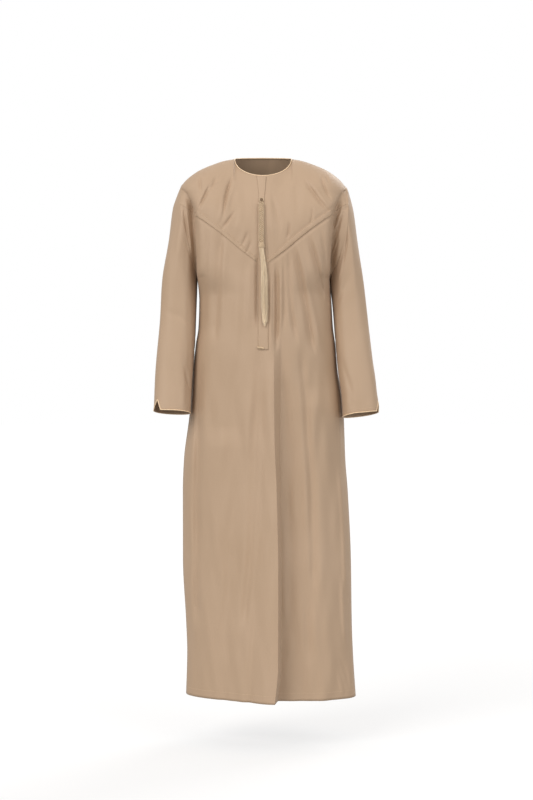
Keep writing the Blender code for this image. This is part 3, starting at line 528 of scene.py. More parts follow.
def armCreaseDepth(cuff, angle, z):
    total = np.zeros_like(z)
    reach, edge = sleeveLook["reach"], sleeveLook["creaseEdge"]
    for c in armCreases[cuff.name]:
        run = c.z0 - c.z2
        middle = bowed(c.a0, c.a1, c.a2, np.clip((c.z0 - z) / run, 0.0, 1.0), (c.z0 - c.z1) / run)
        arc = np.radians((angle - middle + 180) % 360 - 180) * reach  # metres round the arm
        slant = 1 / sqrt(1 + (radians(c.a2 - c.a0) * reach / run) ** 2)
        fadeRun = sleeveLook["creaseFade"] * run
        fade = smoothStep(c.z0 + edge, c.z0 - fadeRun, z) * smoothStep(c.z2 - edge, c.z2 + fadeRun, z)
        total += c.height * fade * np.exp(-(arc * slant / c.width) ** 2)
    return total


def cuffEdgeZ(cuff, angle):
    share = (1 - np.cos(np.radians(angle))) / 2
    z = cuff.outerZ + (cuff.innerZ - cuff.outerZ) * share
    z = z - cuffBackDrop * (1 - np.sin(np.radians(angle))) / 2
    away = (angle - cuff.notchAngle + 180) % 360 - 180
    away = np.where(away > 0, away / cuff.notchFront, -away / cuff.notchBack)
    return z + cuff.notchHeight * np.clip(1 - away, 0, 1)


def sleevePoint(cuff, angle, t):
    # point of a sleeve between the armhole (t 0) and the cuff's edge (t 1)
    fold = np.where(angle <= 180, angle, 360 - angle)
    z0 = (shoulderTipZ + armpitZ) / 2 + (shoulderTipZ - armpitZ) / 2 * np.cos(np.radians(fold))
    x0 = cuff.side * edgeX(np.full_like(angle, cuff.side), z0)
    y0 = np.where(angle <= 180, bodyY("front", x0, z0), bodyY("back", x0, z0))
    z = z0 + (cuffEdgeZ(cuff, angle) - z0) * t
    keep = 1 - smoothStep(0.0, sleeveLook["holdShare"], t)
    sx, sy = armSection(cuff, angle, z0)
    x, y = armSection(cuff, angle, z)
    x = x + (x0 - sx) * keep
    y = y + (y0 - sy) * keep
    # creases and unevenness, square to the arm
    c, s = np.cos(np.radians(angle)), np.sin(np.radians(angle))
    around = c * sleeveLook["unevenWide"] + s * sleeveLook["unevenDeep"]
    relief = armCreaseDepth(cuff, angle, z) + sleeveLook["unevenShare"] * uneven(cuff.name, around, z)
    relief = relief * smoothStep(0.0, sleeveLook["headFade"], t) * smoothStep(1.0, sleeveLook["cuffFade"], t)
    return x + cuff.side * c * relief, y - s * relief, z


def join(source, output, target, socket):
    source.id_data.links.new(source.outputs[output], target.inputs[socket])


def newMaterial(name):
    made = bpy.data.materials.new(name)
    made.use_nodes = True
    nodes = made.node_tree.nodes
    nodes.clear()
    out = nodes.new("ShaderNodeOutputMaterial")
    shader = nodes.new("ShaderNodeBsdfPrincipled")
    join(shader, "BSDF", out, "Surface")
    return made, nodes, shader


def node(nodes, kind, **settings):
    made = nodes.new(kind)
    for key, value in settings.items():
        if key in made.inputs:
            made.inputs[key].default_value = value
        else:
            setattr(made, key, value)
    return made


def linear(red, green, blue):
    # colour of a picture value, 0 to 255, as the shader wants it
    return tuple((v / 255 / 12.92 if v / 255 <= 0.04045 else ((v / 255 + 0.055) / 1.055) ** 2.4)
                 for v in (red, green, blue))


def shadeRamp(nodes, dark, light, low=0.0, high=1.0):
    ramp = node(nodes, "ShaderNodeValToRGB")
    for stop, place, colour in zip(ramp.color_ramp.elements, (low, high), (dark, light)):
        stop.position = place
        stop.color = (*linear(*colour), 1)
    return ramp


clothLook = {
    "lit": (183, 157, 132), "deep": (174, 148, 122), "roughness": 0.55, "sheen": 0.26,
    "threadPitch": 0.00055, "twillAngle": 58, "weaveBump": 0.26, "yarn": (900, 14, 1), "slubBump": 0.05,
}


def robeClothMaterial():
    made, nodes, shader = newMaterial("robeCloth")
    uv = node(nodes, "ShaderNodeUVMap", uv_map="cut")
    # twill: fine diagonal lines on the cut's own metres
    turn = node(nodes, "ShaderNodeMapping", Rotation=(0, 0, radians(clothLook["twillAngle"])))
    twill = node(nodes, "ShaderNodeTexWave", wave_type="BANDS", bands_direction="X", wave_profile="SIN",
                 Scale=1 / (clothLook["threadPitch"] * 20))
    join(uv, "UV", turn, "Vector")
    join(turn, "Vector", twill, "Vector")
    # uneven yarn: long thin noise along the warp
    yarnMap = node(nodes, "ShaderNodeMapping", Scale=clothLook["yarn"])
    yarn = node(nodes, "ShaderNodeTexNoise", Scale=1.0, Detail=3.0, Roughness=0.6)
    join(uv, "UV", yarnMap, "Vector")
    join(yarnMap, "Vector", yarn, "Vector")
    # broad soft shade of handled cloth
    cloud = node(nodes, "ShaderNodeTexNoise", Scale=5.0, Detail=2.0, Roughness=0.5)
    join(uv, "UV", cloud, "Vector")
    shade = node(nodes, "ShaderNodeMath", operation="MULTIPLY_ADD")
    shade.inputs[1].default_value = 0.35
    join(yarn, "Fac", shade, 0)
    join(cloud, "Fac", shade, 2)
    ramp = shadeRamp(nodes, clothLook["deep"], clothLook["lit"], 0.35)
    join(shade, "Value", ramp, "Fac")
    join(ramp, "Color", shader, "Base Color")
    rough = node(nodes, "ShaderNodeMapRange")
    rough.inputs["To Min"].default_value = clothLook["roughness"] - 0.06
    rough.inputs["To Max"].default_value = clothLook["roughness"] + 0.10
    join(yarn, "Fac", rough, "Value")
    join(rough, "Result", shader, "Roughness")
    shader.inputs["Sheen Weight"].default_value = clothLook["sheen"]
    shader.inputs["Sheen Roughness"].default_value = 0.35
    shader.inputs["Sheen Tint"].default_value = (*linear(255, 240, 220), 1)
    shader.inputs["Specular IOR Level"].default_value = 0.35
    weave = node(nodes, "ShaderNodeBump", Strength=clothLook["weaveBump"], Distance=0.0002)
    slub = node(nodes, "ShaderNodeBump", Strength=clothLook["slubBump"], Distance=0.0006)
    join(twill, "Fac", weave, "Height")
    join(yarn, "Fac", slub, "Height")
    join(weave, "Normal", slub, "Normal")
    join(slub, "Normal", shader, "Normal")
    return made


def cordMaterial(name, light, dark, pitch, roughness, sheen):
    # twisted thread: fine bands over the piece, the dark colour painted shade in the twist's grooves, with a
    # little real unevenness
    made, nodes, shader = newMaterial(name)
    place = node(nodes, "ShaderNodeTexCoord")
    twist = node(nodes, "ShaderNodeTexWave", wave_type="BANDS", bands_direction="DIAGONAL",
                 Scale=1 / (pitch * 20) * 2 * pi, Distortion=1.2)
    grain = node(nodes, "ShaderNodeTexNoise", Scale=700.0, Detail=3.0)
    join(place, "Object", twist, "Vector")
    join(place, "Object", grain, "Vector")
    blend = node(nodes, "ShaderNodeMath", operation="MULTIPLY_ADD")
    blend.inputs[1].default_value = 0.5
    join(grain, "Fac", blend, 0)
    half = node(nodes, "ShaderNodeMath", operation="MULTIPLY")
    half.inputs[1].default_value = 0.5
    join(twist, "Fac", half, 0)
    join(half, "Value", blend, 2)
    # the lowest places of the twist get the dark colour: painted shade in its grooves
    ramp = shadeRamp(nodes, dark, light)
    join(blend, "Value", ramp, "Fac")
    join(ramp, "Color", shader, "Base Color")
    bump = node(nodes, "ShaderNodeBump", Strength=0.35, Distance=0.0003)
    join(blend, "Value", bump, "Height")
    join(bump, "Normal", shader, "Normal")
    shader.inputs["Roughness"].default_value = roughness
    shader.inputs["Sheen Weight"].default_value = sheen
    return made


def strandMaterial(name, light, dark, roughness, sheen):
    # silky threads: long fine streaks down the hanging bundle, the light ones painted highlights of the silk,
    # the dark ones painted shade between strands
    made, nodes, shader = newMaterial(name)
    place = node(nodes, "ShaderNodeTexCoord")
    drawn = node(nodes, "ShaderNodeMapping", Scale=(640, 640, 5))
    sheenAndShadeStreak = node(nodes, "ShaderNodeTexNoise", Scale=1.0, Detail=3.0, Roughness=0.6)
    join(place, "Object", drawn, "Vector")
    join(drawn, "Vector", sheenAndShadeStreak, "Vector")
    ramp = shadeRamp(nodes, dark, light, 0.30, 0.62)
    join(sheenAndShadeStreak, "Fac", ramp, "Fac")
    join(ramp, "Color", shader, "Base Color")
    shader.inputs["Roughness"].default_value = roughness
    shader.inputs["Sheen Weight"].default_value = sheen
    return made


robeCloth = robeClothMaterial()
# each cord finish: its lighter colour on the twist's ridges, its darker colour painted shade in the grooves
pipingCord = cordMaterial("pipingCord", (250, 222, 186), (228, 196, 156), 0.0012, 0.5, 0.2)
tasselSilk = cordMaterial("tasselSilk", (226, 202, 168), (170, 142, 108), 0.0020, 0.42, 0.4)
# dark core behind the plait: painted shadow in the gaps between its cords
shadowCoreSilk = cordMaterial("shadowCoreSilk", (140, 112, 82), (108, 84, 60), 0.0020, 0.6, 0.2)
# strand streaks: light colour painted highlight of the silk, dark colour painted shade between strands
strandSilk = strandMaterial("strandSilk", (238, 216, 182), (174, 147, 114), 0.38, 0.5)
seamThread = cordMaterial("seamThread", (214, 190, 158), (190, 164, 130), 0.0008, 0.55, 0.1)
buttonShell = cordMaterial("buttonShell", (132, 102, 74), (98, 74, 52), 0.0030, 0.35, 0.0)
print("materials made")

# columns and rows of each panel
panelGrain = {"front": (192, 250), "yoke": (126, 104), "back": (152, 225), "sleeve": (140, 190), "quick": 0.5}
clothThickness = 0.0008
seamAllowance = 0.006  # share of the panel's length above its seam


def grainOf(kind):
    across, down = panelGrain[kind]
    k = 1.0
    return max(8, int(across * k)), max(8, int(down * k))


def newGrid(across, down):
    # a flat grid, with the share across and down of each of its points
    bm = bmesh.new()
    bmesh.ops.create_grid(bm, x_segments=across, y_segments=down, size=0.5)
    bm.verts.ensure_lookup_table()
    co = np.array([v.co[:2] for v in bm.verts])
    return bm, co[:, 0] + 0.5, 0.5 - co[:, 1]


def bend(bm, points, flat):
    # grid moved to its worn places, with the cut's own metres as its UV
    for v, point in zip(bm.verts, points):
        v.co = point
    layer = bm.loops.layers.uv.new("cut")
    for face in bm.faces:
        for loop in face.loops:
            loop[layer].uv = flat[loop.vert.index]


def thicken(piece, thickness):
    wall = piece.modifiers.new("wall", "SOLIDIFY")
    wall.thickness = thickness
    wall.offset = -1


def clothPanel(name, node, kind, place, flatWidth, flatLength, closed=False):
    bm, u, t = newGrid(*grainOf(kind))
    bend(bm, np.column_stack(place(u, t)), np.column_stack((u * flatWidth, (1 - t) * flatLength)))
    if closed:
        bmesh.ops.remove_doubles(bm, verts=bm.verts, dist=1e-5)
    piece = toPiece(name, bm, robeCloth)
    thicken(piece, clothThickness)
    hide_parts(node)
    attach(piece, "root")
    return piece


def toPiece(name, bm, finish):
    mesh = bpy.data.meshes.new(name)
    bm.to_mesh(mesh)
    bm.free()
    mesh.materials.append(finish)
    mesh.shade_smooth()
    piece = bpy.data.objects.new(name, mesh)
    bpy.context.collection.objects.link(piece)
    return piece


def between(low, high, u):
    return low + (high - low) * u


# the long fold takes a closer column every millimetre or two round its edge
crowdLook = {"fold": 3.2, "foldAt": 2.2, "foldWide": 1.1, "side": 0.8, "sideFrom": (14, 19), "rowShare": 0.62}


def frontPlaces(u):
    place = between(-frontColumns, frontColumns, np.linspace(0, 1, 2001))
    atFold = np.exp(-((place - crowdLook["foldAt"]) / crowdLook["foldWide"]) ** 2)
    atSide = smoothStep(*crowdLook["sideFrom"], np.abs(place))
    weight = 1 + crowdLook["fold"] * atFold + crowdLook["side"] * atSide
    total = np.concatenate(([0], np.cumsum((weight[1:] + weight[:-1]) / 2)))
    return np.interp(u, total / total[-1], place)


def frontDown(t):
    # closer rows on the chest, and a seam allowance tucked under the upper fronts
    rowShare = crowdLook["rowShare"]
    return -seamAllowance + (1 + seamAllowance) * t * (rowShare + (1 - rowShare) * t)


# each with the width and length of its pattern's own metres
rightYoke = clothPanel("rightYokeCloth", "yoke_right", "yoke",
                       lambda u, t: yokePoint(between(-frontColumns, 0, u), t), 0.25, 0.26)
leftYoke = clothPanel("leftYokeCloth", "yoke_left", "yoke",
                      lambda u, t: yokePoint(between(0, frontColumns, u), t), 0.25, 0.26)
frontPanel = clothPanel("frontCloth", "front", "front",
                        lambda u, t: frontPoint(frontPlaces(u), frontDown(t)), 0.58, 1.27)
backPanel = clothPanel("backCloth", "back", "back",
                       lambda u, t: backPoint(between(-backColumns, backColumns, u), t), 0.62, 1.42)
for cuff in cuffs:
    turnWay = 1 if cuff.side < 0 else -1
    clothPanel(
        cuff.name + "SleeveCloth", "sleeve_" + cuff.name, "sleeve",
        lambda u, t, cuff=cuff, way=turnWay: sleevePoint(cuff, (way * u * 360 - 180) % 360, t),
        0.40, 0.60, closed=True)
print("cloth panels bent to the worn form")


def onFront(x, z, lift, face="front"):
    # points raised square from the cloth of the front, or of the back
    x, z = np.asarray(x, dtype=float), np.asarray(z, dtype=float)
    step = 0.0015
    y = bodyY(face, x, z)
    dx = (bodyY(face, x + step, z) - bodyY(face, x - step, z)) / (2 * step)
    dz = (bodyY(face, x, z + step) - bodyY(face, x, z - step)) / (2 * step)
    normal = np.column_stack((dx, -np.ones_like(dx), dz)) * (1 if face == "front" else -1)
    normal /= np.linalg.norm(normal, axis=1)[:, None]
    return np.column_stack((x, y, z)) + normal * np.reshape(lift, (-1, 1))


stripLift = 0.0003  # of a strip's underside off the cloth


def stripOnFront(name, rows, across, thickness, roll=0.0):
    # flat strip over a grid of front places, rows of (x, z) pairs
    count, wide = len(rows), len(rows[0])
    bm, u, t = newGrid(wide - 1, count - 1)
    column = np.rint(u * (wide - 1)).astype(int)
    xz = np.array(rows)[np.rint(t * (count - 1)).astype(int), column]
    # the middle stands a little prouder than the edges
    side = 2 * column / (wide - 1) - 1
    crown = 1 - np.abs(side) ** 4 + roll * np.clip(side, 0, 1) ** 2 * (1 - side ** 12)
    points = onFront(xz[:, 0], xz[:, 1], stripLift + thickness * (0.55 + 0.45 * crown))
    bend(bm, points, np.column_stack((column / (wide - 1) * across, xz[:, 1])))
    piece = toPiece(name, bm, robeCloth)
    thicken(piece, thickness)
    return piece


def dress(piece, slotName, *nodes):
    if nodes:
        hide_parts(*nodes)
    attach(piece, "root")
    return piece


# placket: flat strip, drawn in under the tassel's button
placketLook = {"endZ": -0.4986, "rows": 150, "columns": 9, "thickness": 0.0012, "width": 0.0265}
Edges = namedtuple("Edges", "z right left")
placketEdges = inMetres(Edges, [
    (-50, -17, 8.8), (-88, -12, 6.2), (-108, -10.8, 4), (-145, -11.2, 5.6),
    (-230, -12.2, 10.8), (-300, -12.5, 14), (-498.6, -12.5, 14)])


def placketEdge(side, z):
    return lookUp(placketEdges, side, z)


placketZ = np.linspace(neckRise["front"] - 0.0003, placketLook["endZ"], placketLook["rows"])
placketRows = []
for z in placketZ:
    row = []
    for k in range(placketLook["columns"]):
        x = between(placketEdge("right", z), placketEdge("left", z), k / (placketLook["columns"] - 1))
        row.append((x, min(z, neckRise["front"] * float(neckRound(x)) - 0.0003)))
    placketRows.append(row)
placket = dress(stripOnFront("placketCloth", placketRows, placketLook["width"], placketLook["thickness"]),
                "robe_cloth", "placket")

# V band: the yoke's felled seam, a strip with two rows of stitches
bandLook = {
    "width": 0.0115, "thickness": {"right": 0.00028, "left": 0.0009}, "roll": {"right": 0.3, "left": 1.0},
    "lines": 190, "columns": 9, "reach": 0.170, "leftLonger": 0.004, "centreShare": 0.55, "narrowTo": 0.070,
    "stitchShare": 0.38, "stitchLift": 0.0014,
}


def bandShare(x):
    # the band narrows towards the placket
    return bandLook["centreShare"] + (1 - bandLook["centreShare"]) * smoothStep(0.0, bandLook["narrowTo"], x)


def seamPlaces(side, count, offset):
    # places along one arm of the V, moved square to it by offset
    x = np.linspace(0.0006, bandLook["reach"] + bandLook["leftLonger"] * (side > 0), count)
    z = lookUp(yokeSeam, "z", x, key="x")
    dz = np.gradient(z, x)
    long = np.sqrt(1 + dz * dz)
    offset = offset * bandShare(x)
    return side * (x - offset * dz / long), z + offset / long


for side, label in ((-1, "right"), (1, "left")):
    lines = []
    for k in range(bandLook["columns"]):
        offset = bandLook["width"] * (k / (bandLook["columns"] - 1) - 0.5)
        lines.append(list(zip(*seamPlaces(side, bandLook["lines"], offset))))
    thickness, roll = bandLook["thickness"][label], bandLook["roll"][label]
    band = stripOnFront(label + "SeamBand", list(zip(*lines)), bandLook["width"], thickness, roll)
    dress(band, "robe_cloth")


def cordPiece(name, paths, radius, finish, closed=False, roundness=1):
    # round thread or cord along each path
    data = bpy.data.curves.new(name, "CURVE")
    data.dimensions = "3D"
    data.bevel_depth = radius
    data.bevel_resolution = roundness
    data.use_fill_caps = not closed
    for path in paths:
        spline = data.splines.new("POLY")
        spline.points.add(len(path) - 1)
        for target, point in zip(spline.points, path):
            target.co = (*point, 1.0)
        spline.use_cyclic_u = closed
        spline.use_smooth = True
    data.materials.append(finish)
    piece = bpy.data.objects.new(name, data)
    bpy.context.collection.objects.link(piece)
    return piece


def frontNormals(x, z, face="front"):
    low = onFront(x, z, 0.0, face)
    high = onFront(x, z, 0.001, face)
    return (high - low) / 0.001


stitchLook = {"length": 0.0026, "gap": 0.0011, "sink": 0.0006, "radius": 0.00035}


def stitchPaths(points, normals):
    # short stitches along a line, their ends drawn into the cloth
    steps = np.linalg.norm(np.diff(points, axis=0), axis=1)
    walked = np.concatenate(([0], np.cumsum(steps)))
    paths = []
    length, gap, sink = stitchLook["length"], stitchLook["gap"], stitchLook["sink"]
    at = gap
    while at + length < walked[-1]:
        places = [at, at + 0.2 * length, at + 0.8 * length, at + length]
        drops = [sink, 0, 0, sink]
        path = []
        for place, drop in zip(places, drops):
            point = [np.interp(place, walked, points[:, k]) for k in range(3)]
            normal = [np.interp(place, walked, normals[:, k]) for k in range(3)]
            path.append([p - drop * n for p, n in zip(point, normal)])
        paths.append(path)
        at += length + gap
    return paths


def frontStitches(name, lines, lift, radius=stitchLook["radius"], face="front"):
    paths = []
    for xs, zs in lines:
        paths += stitchPaths(onFront(xs, zs, lift, face), frontNormals(xs, zs, face))
    return dress(cordPiece(name, paths, radius, seamThread), "robe_cloth")


bandLines = [seamPlaces(side, 420, bandLook["width"] * bandLook["stitchShare"] * way)
             for side in (-1, 1) for way in (-1, 1)]
frontStitches("seamBandStitches", bandLines, bandLook["stitchLift"])
placketRowLook = {"fromNeck": 0.012, "fromEnd": 0.004, "inset": 0.0022, "lift": 0.0015}
rowStart = neckRise["front"] - placketRowLook["fromNeck"]
edgeZ = np.linspace(rowStart, placketLook["endZ"] + placketRowLook["fromEnd"], 900)
leftEdge = placketEdge("left", edgeZ) - placketRowLook["inset"]
rightEdge = placketEdge("right", edgeZ) + placketRowLook["inset"]
frontStitches("placketStitches", [(leftEdge, edgeZ), (rightEdge, edgeZ)], placketRowLook["lift"])

# one row round the hem and one round each cuff, which hold the turned edges
edgeLook = {"hemRise": 0.020, "cuffShare": 0.984, "lift": 0.0002, "radius": 0.00028, "edgeShare": 0.985}
for face in ("front", "back"):
    hemRow = hemZ + edgeLook["hemRise"]
    rightEnd, leftEnd = edgeLook["edgeShare"] * edgeX(np.array([-1.0, 1.0]), np.full(2, hemRow))
    hemX = np.linspace(-rightEnd, leftEnd, 1200)
    frontStitches(face + "HemStitches", [(hemX, np.full_like(hemX, hemRow))], edgeLook["lift"],
                  radius=edgeLook["radius"], face=face)
for cuff in cuffs:
    angles = np.linspace(0, 360, 721)
    points = np.column_stack(sleevePoint(cuff, angles, np.full_like(angles, edgeLook["cuffShare"])))
    turn = np.radians(angles)
    outward = np.column_stack((cuff.side * np.cos(turn), -np.sin(turn), np.zeros_like(turn)))
    paths = stitchPaths(points + edgeLook["lift"] * outward, outward)
    dress(cordPiece(cuff.name + "CuffStitches", paths, edgeLook["radius"], seamThread), "robe_cloth")

# bar tack at the placket's end: close cross stitches, rising in the middle so that together they make a short
# raised bar
tackLook = {"x": -0.0135, "width": 0.0165, "z": -0.4925, "height": 0.0046, "slant": -0.0022, "bars": 46,
            "waver": 0.0003, "thread": 0.00042, "across": (-1.0, -0.75, -0.3, 0.3, 0.75, 1.0),
            "rise": (0.0004, 0.0024, 0.0032, 0.0032, 0.0024, 0.0004)}
tackPaths = []
for bar in range(tackLook["bars"]):
    share = bar / (tackLook["bars"] - 1)
    x = tackLook["x"] + tackLook["width"] * share
    z = tackLook["z"] + tackLook["slant"] * share + tackLook["waver"] * sin(2.1 * bar)
    half = tackLook["height"] / 2 * (1 - 0.25 * (2 * share - 1) ** 8)
    tackPaths.append(onFront(np.full(6, x), z + half * np.array(tackLook["across"]), tackLook["rise"]))
dress(cordPiece("barTack", tackPaths, tackLook["thread"], seamThread), "robe_cloth")
print("placket, seam band and stitches made")

pipingLook = {"radius": 0.0013, "inset": 0.0018, "drop": 0.0012, "depthShare": 0.975}
neckPath = []
for a in np.linspace(-pi, pi, 181)[:-1]:
    face = "front" if cos(a) > 0 else "back"
    neckline = neckRise[face] * abs(cos(a))
    y = float(bodyY(face, np.array([neckHalfWidth * sin(a)]), np.array([neckline]))[0])
    neckPath.append(((neckHalfWidth - pipingLook["inset"]) * sin(a), y * pipingLook["depthShare"],
                     neckline + pipingLook["drop"]))
dress(cordPiece("neckPipingCord", [neckPath], pipingLook["radius"], pipingCord, closed=True, roundness=2),
      "piping_cord", "neck_piping")
for cuff in cuffs:
    angles = np.linspace(0, 360, 241)[:-1]
    x, y, z = sleevePoint(cuff, angles, np.ones_like(angles))
    path = np.column_stack((x, y, z - pipingLook["drop"]))
    cord = cordPiece(cuff.name + "CuffPipingCord", [path], pipingLook["radius"], pipingCord,
                     closed=True, roundness=2)
    dress(cord, "piping_cord", "cuff_piping_" + cuff.name)
print("piping made")

tasselLook = {
    "stemTop": -0.1254, "stemLow": -0.2270, "stemX": -0.0038, "stemWidth": 0.0148, "stemThickness": 0.0060,
    "headLow": -0.2400, "endZ": -0.4400, "plaits": 7.0, "cords": 2, "cordRadius": 0.00105, "cordGap": 0.0031,
    "strands": 236, "strandRadius": 0.00045, "lean": 0.0050, "leanLow": 0.0034, "goldenAngle": 2.399963,
    "wide": 0.0066, "deep": 0.0034, "root": 0.0025, "unevenLength": 0.025, "rimShorter": 0.075,
    "drift": 0.0007, "waver": 0.0003, "locks": 5, "lockShare": 0.22,
    "headThickness": 0.009, "turns": 8, "windingRadius": 0.00085,
}
stemHeights = np.linspace(-0.460, -0.100, 361)
underStem = [bodyY("front", np.full_like(stemHeights, x), stemHeights) for x in (-0.008, 0.0, 0.008)]
placketDeep = np.min(underStem, axis=0) - 0.0019  # clear of the placket's own thickness


def stemMiddle(z, thickness):
    return Vector((tasselLook["stemX"], np.interp(z, stemHeights, placketDeep) - 0.0005 - thickness / 2, z))


def plaitedStem():
    # three flat strands of cords crossing in turn, over a dark core that is painted shadow seen through the
    # plait's gaps
    look = tasselLook
    steps = 240  # along the stem
    paths = []
    for strand in range(3):
        for cord in range(look["cords"]):
            path = []
            for i in range(steps + 1):
                t = i / steps
                phase = 2 * pi * (look["plaits"] * t + strand / 3)
                middle = stemMiddle(between(look["stemTop"], look["stemLow"], t), look["stemThickness"])
                swing = sin(phase) * (look["stemWidth"] / 2 - 0.0024)
                rise = sin(2 * phase) * 0.0016 - 0.0002
                shift = (cord - (look["cords"] - 1) / 2) * look["cordGap"]
                slope = cos(phase)
                path.append((middle.x + swing + shift * (1 - 0.5 * abs(slope)), middle.y + rise,
                             middle.z + shift * slope * 0.9))
            paths.append(path)
    dress(cordPiece("plaitedStem", paths, look["cordRadius"], tasselSilk), "tassel_silk", "tassel_braid")
    # the core: a dark piece that is painted shadow behind the cords
    bm = bmesh.new()
    bmesh.ops.create_cone(bm, cap_ends=True, segments=20, radius1=1.0, radius2=1.0, depth=1.0)
    side = [edge for edge in bm.edges if abs(edge.verts[0].co.z - edge.verts[1].co.z) > 0.5]
    bmesh.ops.subdivide_edges(bm, edges=side, cuts=24)
    for v in bm.verts:
        middle = stemMiddle(between(look["stemLow"], look["stemTop"], v.co.z + 0.5), look["stemThickness"])
        wide, deep = v.co.x * look["stemWidth"] * 0.40, v.co.y * look["stemThickness"] * 0.24
        v.co = middle + Vector((wide, deep + 0.0004, 0))
    return dress(toPiece("stemShadowCore", bm, shadowCoreSilk), "tassel_silk")


def headPoint(angle, t, swell=1.0):
    look = tasselLook
    z = between(look["stemLow"] - 0.0003, look["headLow"], t)
    middle = stemMiddle(look["headLow"], look["headThickness"])
    wide = 0.0055 + 0.0022 * t
    deep = 0.0032 + 0.0010 * t
    return Vector((middle.x + wide * swell * cos(angle), middle.y + deep * swell * sin(angle), z))


def tasselStrands():
    look = tasselLook
    rng = np.random.default_rng(7)
    steps = 16
    fall = look["headLow"] - look["endZ"]
    paths = []
    for k in range(look["strands"]):
        ring = sqrt((k + 0.5) / look["strands"])
        angle = k * look["goldenAngle"]
        ux, uy = ring * cos(angle), ring * sin(angle)
        length = fall * (1 - look["unevenLength"] * rng.random() - look["rimShorter"] * ring ** 2)
        drift = rng.normal(0, look["drift"], 2)
        phase = rng.random() * 2 * pi
        # strands gather in a few locks that stand out unevenly
        lock = 1 + look["lockShare"] * sin(look["locks"] * angle + 1.3)
        path = []
        for i in range(steps + 1):
            t = i / steps
            z = look["headLow"] + look["root"] - (length + look["root"]) * t
            swell = 0.86 + 0.40 * float(smoothStep(0.0, 0.55, t)) * lock
            swell = swell - 0.50 * float(smoothStep(0.80, 1.0, t))  # drawn together at the ends
            base = min(stemMiddle(place, look["headThickness"]).y for place in (z, z + 0.03))
            lean = look["lean"] * float(smoothStep(-0.02, 0.34, t)) + look["leanLow"] * t
            waver = look["waver"] * sin(phase + 7 * t)
            x = look["stemX"] + ux * look["wide"] * swell + lean + drift[0] * t + waver
            y = base + uy * look["deep"] * swell + drift[1] * 0.3 * t
            path.append((x, y, z))
        paths.append(path)
    hanging = cordPiece("tasselStrands", paths, look["strandRadius"], strandSilk, roundness=0)
    return dress(hanging, "tassel_silk", "tassel")


def tasselHead():
    # wound thread round the strands' roots, over a solid core
    turns = tasselLook["turns"]
    points = []
    for i in range(turns * 20 + 1):
        t = i / (turns * 20)
        points.append(headPoint(2 * pi * turns * t, t, 1.0 + 0.10 * sin(pi * t)))
    dress(cordPiece("headWinding", [points], tasselLook["windingRadius"], tasselSilk), "tassel_silk")
    bm = bmesh.new()
    bmesh.ops.create_cone(bm, cap_ends=True, segments=24, radius1=1.0, radius2=1.0, depth=1.0)
    for v in bm.verts:
        t = 0.5 - v.co.z
        v.co = headPoint(np.arctan2(v.co.y, v.co.x), t, 0.98)
    return dress(toPiece("headCore", bm, tasselSilk), "tassel_silk")


plaitedStem()
tasselStrands()
tasselHead()

# button and the loop that the stem hangs from
buttonLook = {
    "x": -0.0034, "z": tasselLook["stemTop"] + 0.0075, "radius": 0.0036, "height": 0.0036, "underShare": 0.6,
    "turns": 2, "loopGap": 0.0009, "loopRadius": 0.0009,
}


def topButton():
    bm = bmesh.new()
    bmesh.ops.create_uvsphere(bm, u_segments=32, v_segments=16, radius=1.0)
    for v in bm.verts:
        flat = buttonLook["underShare"] if v.co.z < 0 else 1.0
        high = v.co.z * buttonLook["height"] * 0.6 * flat
        v.co = Vector((v.co.x * buttonLook["radius"], v.co.y * buttonLook["radius"], high))
    place = np.array([buttonLook["x"]]), np.array([buttonLook["z"]])
    normal = Vector(frontNormals(*place)[0])
    seat = Vector(onFront(*place, 0.0023 + buttonLook["height"] * 0.36)[0])
    turn = Vector((0, 0, 1)).rotation_difference(normal).to_matrix()
    bmesh.ops.rotate(bm, verts=bm.verts[:], cent=(0, 0, 0), matrix=turn)
    bmesh.ops.translate(bm, verts=bm.verts[:], vec=seat)
    dress(toPiece("topButtonKnot", bm, buttonShell), "button_shell", "top_button")
    loops = []
    for ring in range(buttonLook["turns"]):
        reach = buttonLook["radius"] + buttonLook["loopGap"] + 0.0004 * ring
        loop = []
        for i in range(48):
            a = 2 * pi * i / 48
            side = Vector((cos(a) * reach, sin(a) * reach * 1.15 - 0.0006, (ring - 0.4) * 0.0014))
            loop.append(seat + turn @ side)
        loops.append(loop)
    dress(cordPiece("buttonLoop", loops, buttonLook["loopRadius"], tasselSilk, closed=True), "tassel_silk")


topButton()
print("tassel, button and loop made")

# pale paper that glows a little to the camera, so that it meets the backdrop without an edge
floorLook = {"z": -1.51, "size": 400, "shade": 0.40, "glow": 0.58}
bpy.ops.mesh.primitive_plane_add(size=floorLook["size"], location=(0, 0, floorLook["z"]))
floor = bpy.context.object
floor.name = "floor"
paper = bpy.data.materials.new("paper")
paper.use_nodes = True
paperNodes = paper.node_tree.nodes
paperNodes.clear()
matte = node(paperNodes, "ShaderNodeBsdfDiffuse", Color=(*[floorLook["shade"]] * 3, 1))
glow = node(paperNodes, "ShaderNodeEmission", Strength=floorLook["glow"])
both, paperSeen, paperPick, paperOut = (node(paperNodes, kind) for kind in (
    "ShaderNodeAddShader", "ShaderNodeLightPath", "ShaderNodeMixShader", "ShaderNodeOutputMaterial"))
join(matte, "BSDF", both, 0)
join(glow, "Emission", both, 1)
join(paperSeen, "Is Camera Ray", paperPick, "Fac")
join(matte, "BSDF", paperPick, 1)
join(both, "Shader", paperPick, 2)
join(paperPick, "Shader", paperOut, "Surface")
floor.data.materials.append(paper)

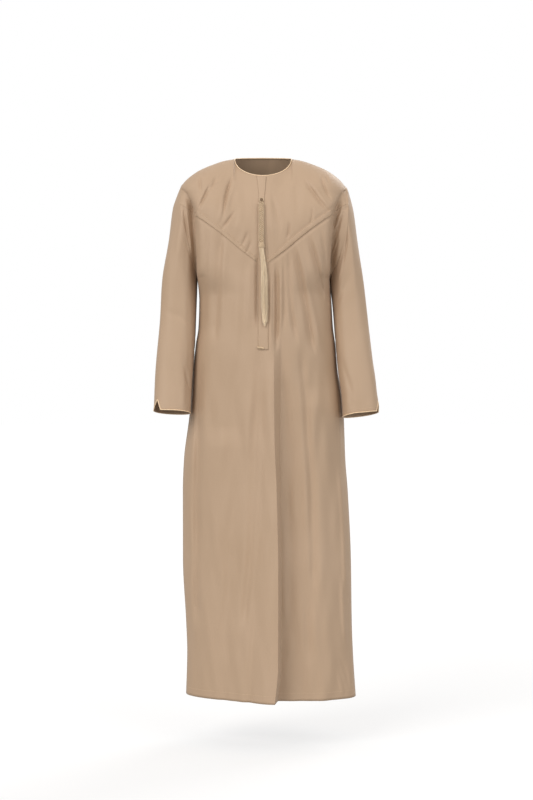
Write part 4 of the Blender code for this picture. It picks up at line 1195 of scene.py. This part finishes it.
studioLook = {
    "sky": 0.65, "backdrop": 1.0, "sun": 1.70, "sunSoftness": 40, "sunFrom": (-0.62, -0.78, 0.54),
    "fill": 0.84, "fillFrom": (0.70, -0.80, 0.35),
    "backSun": 1.1, "backSunFrom": (0.5, 0.8, 0.55),
}
world = bpy.data.worlds.new("studio")
bpy.context.scene.world = world
world.use_nodes = True
skyNodes = world.node_tree.nodes
soft = skyNodes["Background"]
soft.inputs["Color"].default_value = (1.0, 0.975, 0.955, 1)
soft.inputs["Strength"].default_value = studioLook["sky"]
pale = node(skyNodes, "ShaderNodeBackground", Color=(1, 1, 1, 1), Strength=studioLook["backdrop"])
seen = node(skyNodes, "ShaderNodeLightPath")
pick = node(skyNodes, "ShaderNodeMixShader")
join(seen, "Is Camera Ray", pick, "Fac")
join(soft, "Background", pick, 1)
join(pale, "Background", pick, 2)
join(pick, "Shader", skyNodes["World Output"], "Surface")


def softSun(name, energy, source, softness, colour):
    data = bpy.data.lights.new(name, "SUN")
    data.energy = energy
    data.angle = radians(softness)
    data.color = colour
    light = bpy.data.objects.new(name, data)
    light.rotation_euler = Vector(source).to_track_quat("Z", "Y").to_euler()
    bpy.context.collection.objects.link(light)


softSun("window", studioLook["sun"], studioLook["sunFrom"], studioLook["sunSoftness"], (1.0, 0.985, 0.965))
softSun("fillWindow", studioLook["fill"], studioLook["fillFrom"], 40, (1.0, 1.0, 1.0))
softSun("backWindow", studioLook["backSun"], studioLook["backSunFrom"], 30, (0.97, 0.985, 1.0))

cameraLook = {"side": 0.009, "distance": 4.5, "height": -0.625, "lens": 77.9}
lens = bpy.data.cameras.new("photoView")
lens.lens = cameraLook["lens"]
lens.sensor_width = 36
lens.clip_end = 60
camera = bpy.data.objects.new("photoView", lens)
camera.location = (cameraLook["side"], -cameraLook["distance"], cameraLook["height"])
camera.rotation_euler = (pi / 2, 0, 0)
bpy.context.collection.objects.link(camera)
bpy.context.scene.camera = camera
bpy.context.scene.view_settings.view_transform = "Standard"
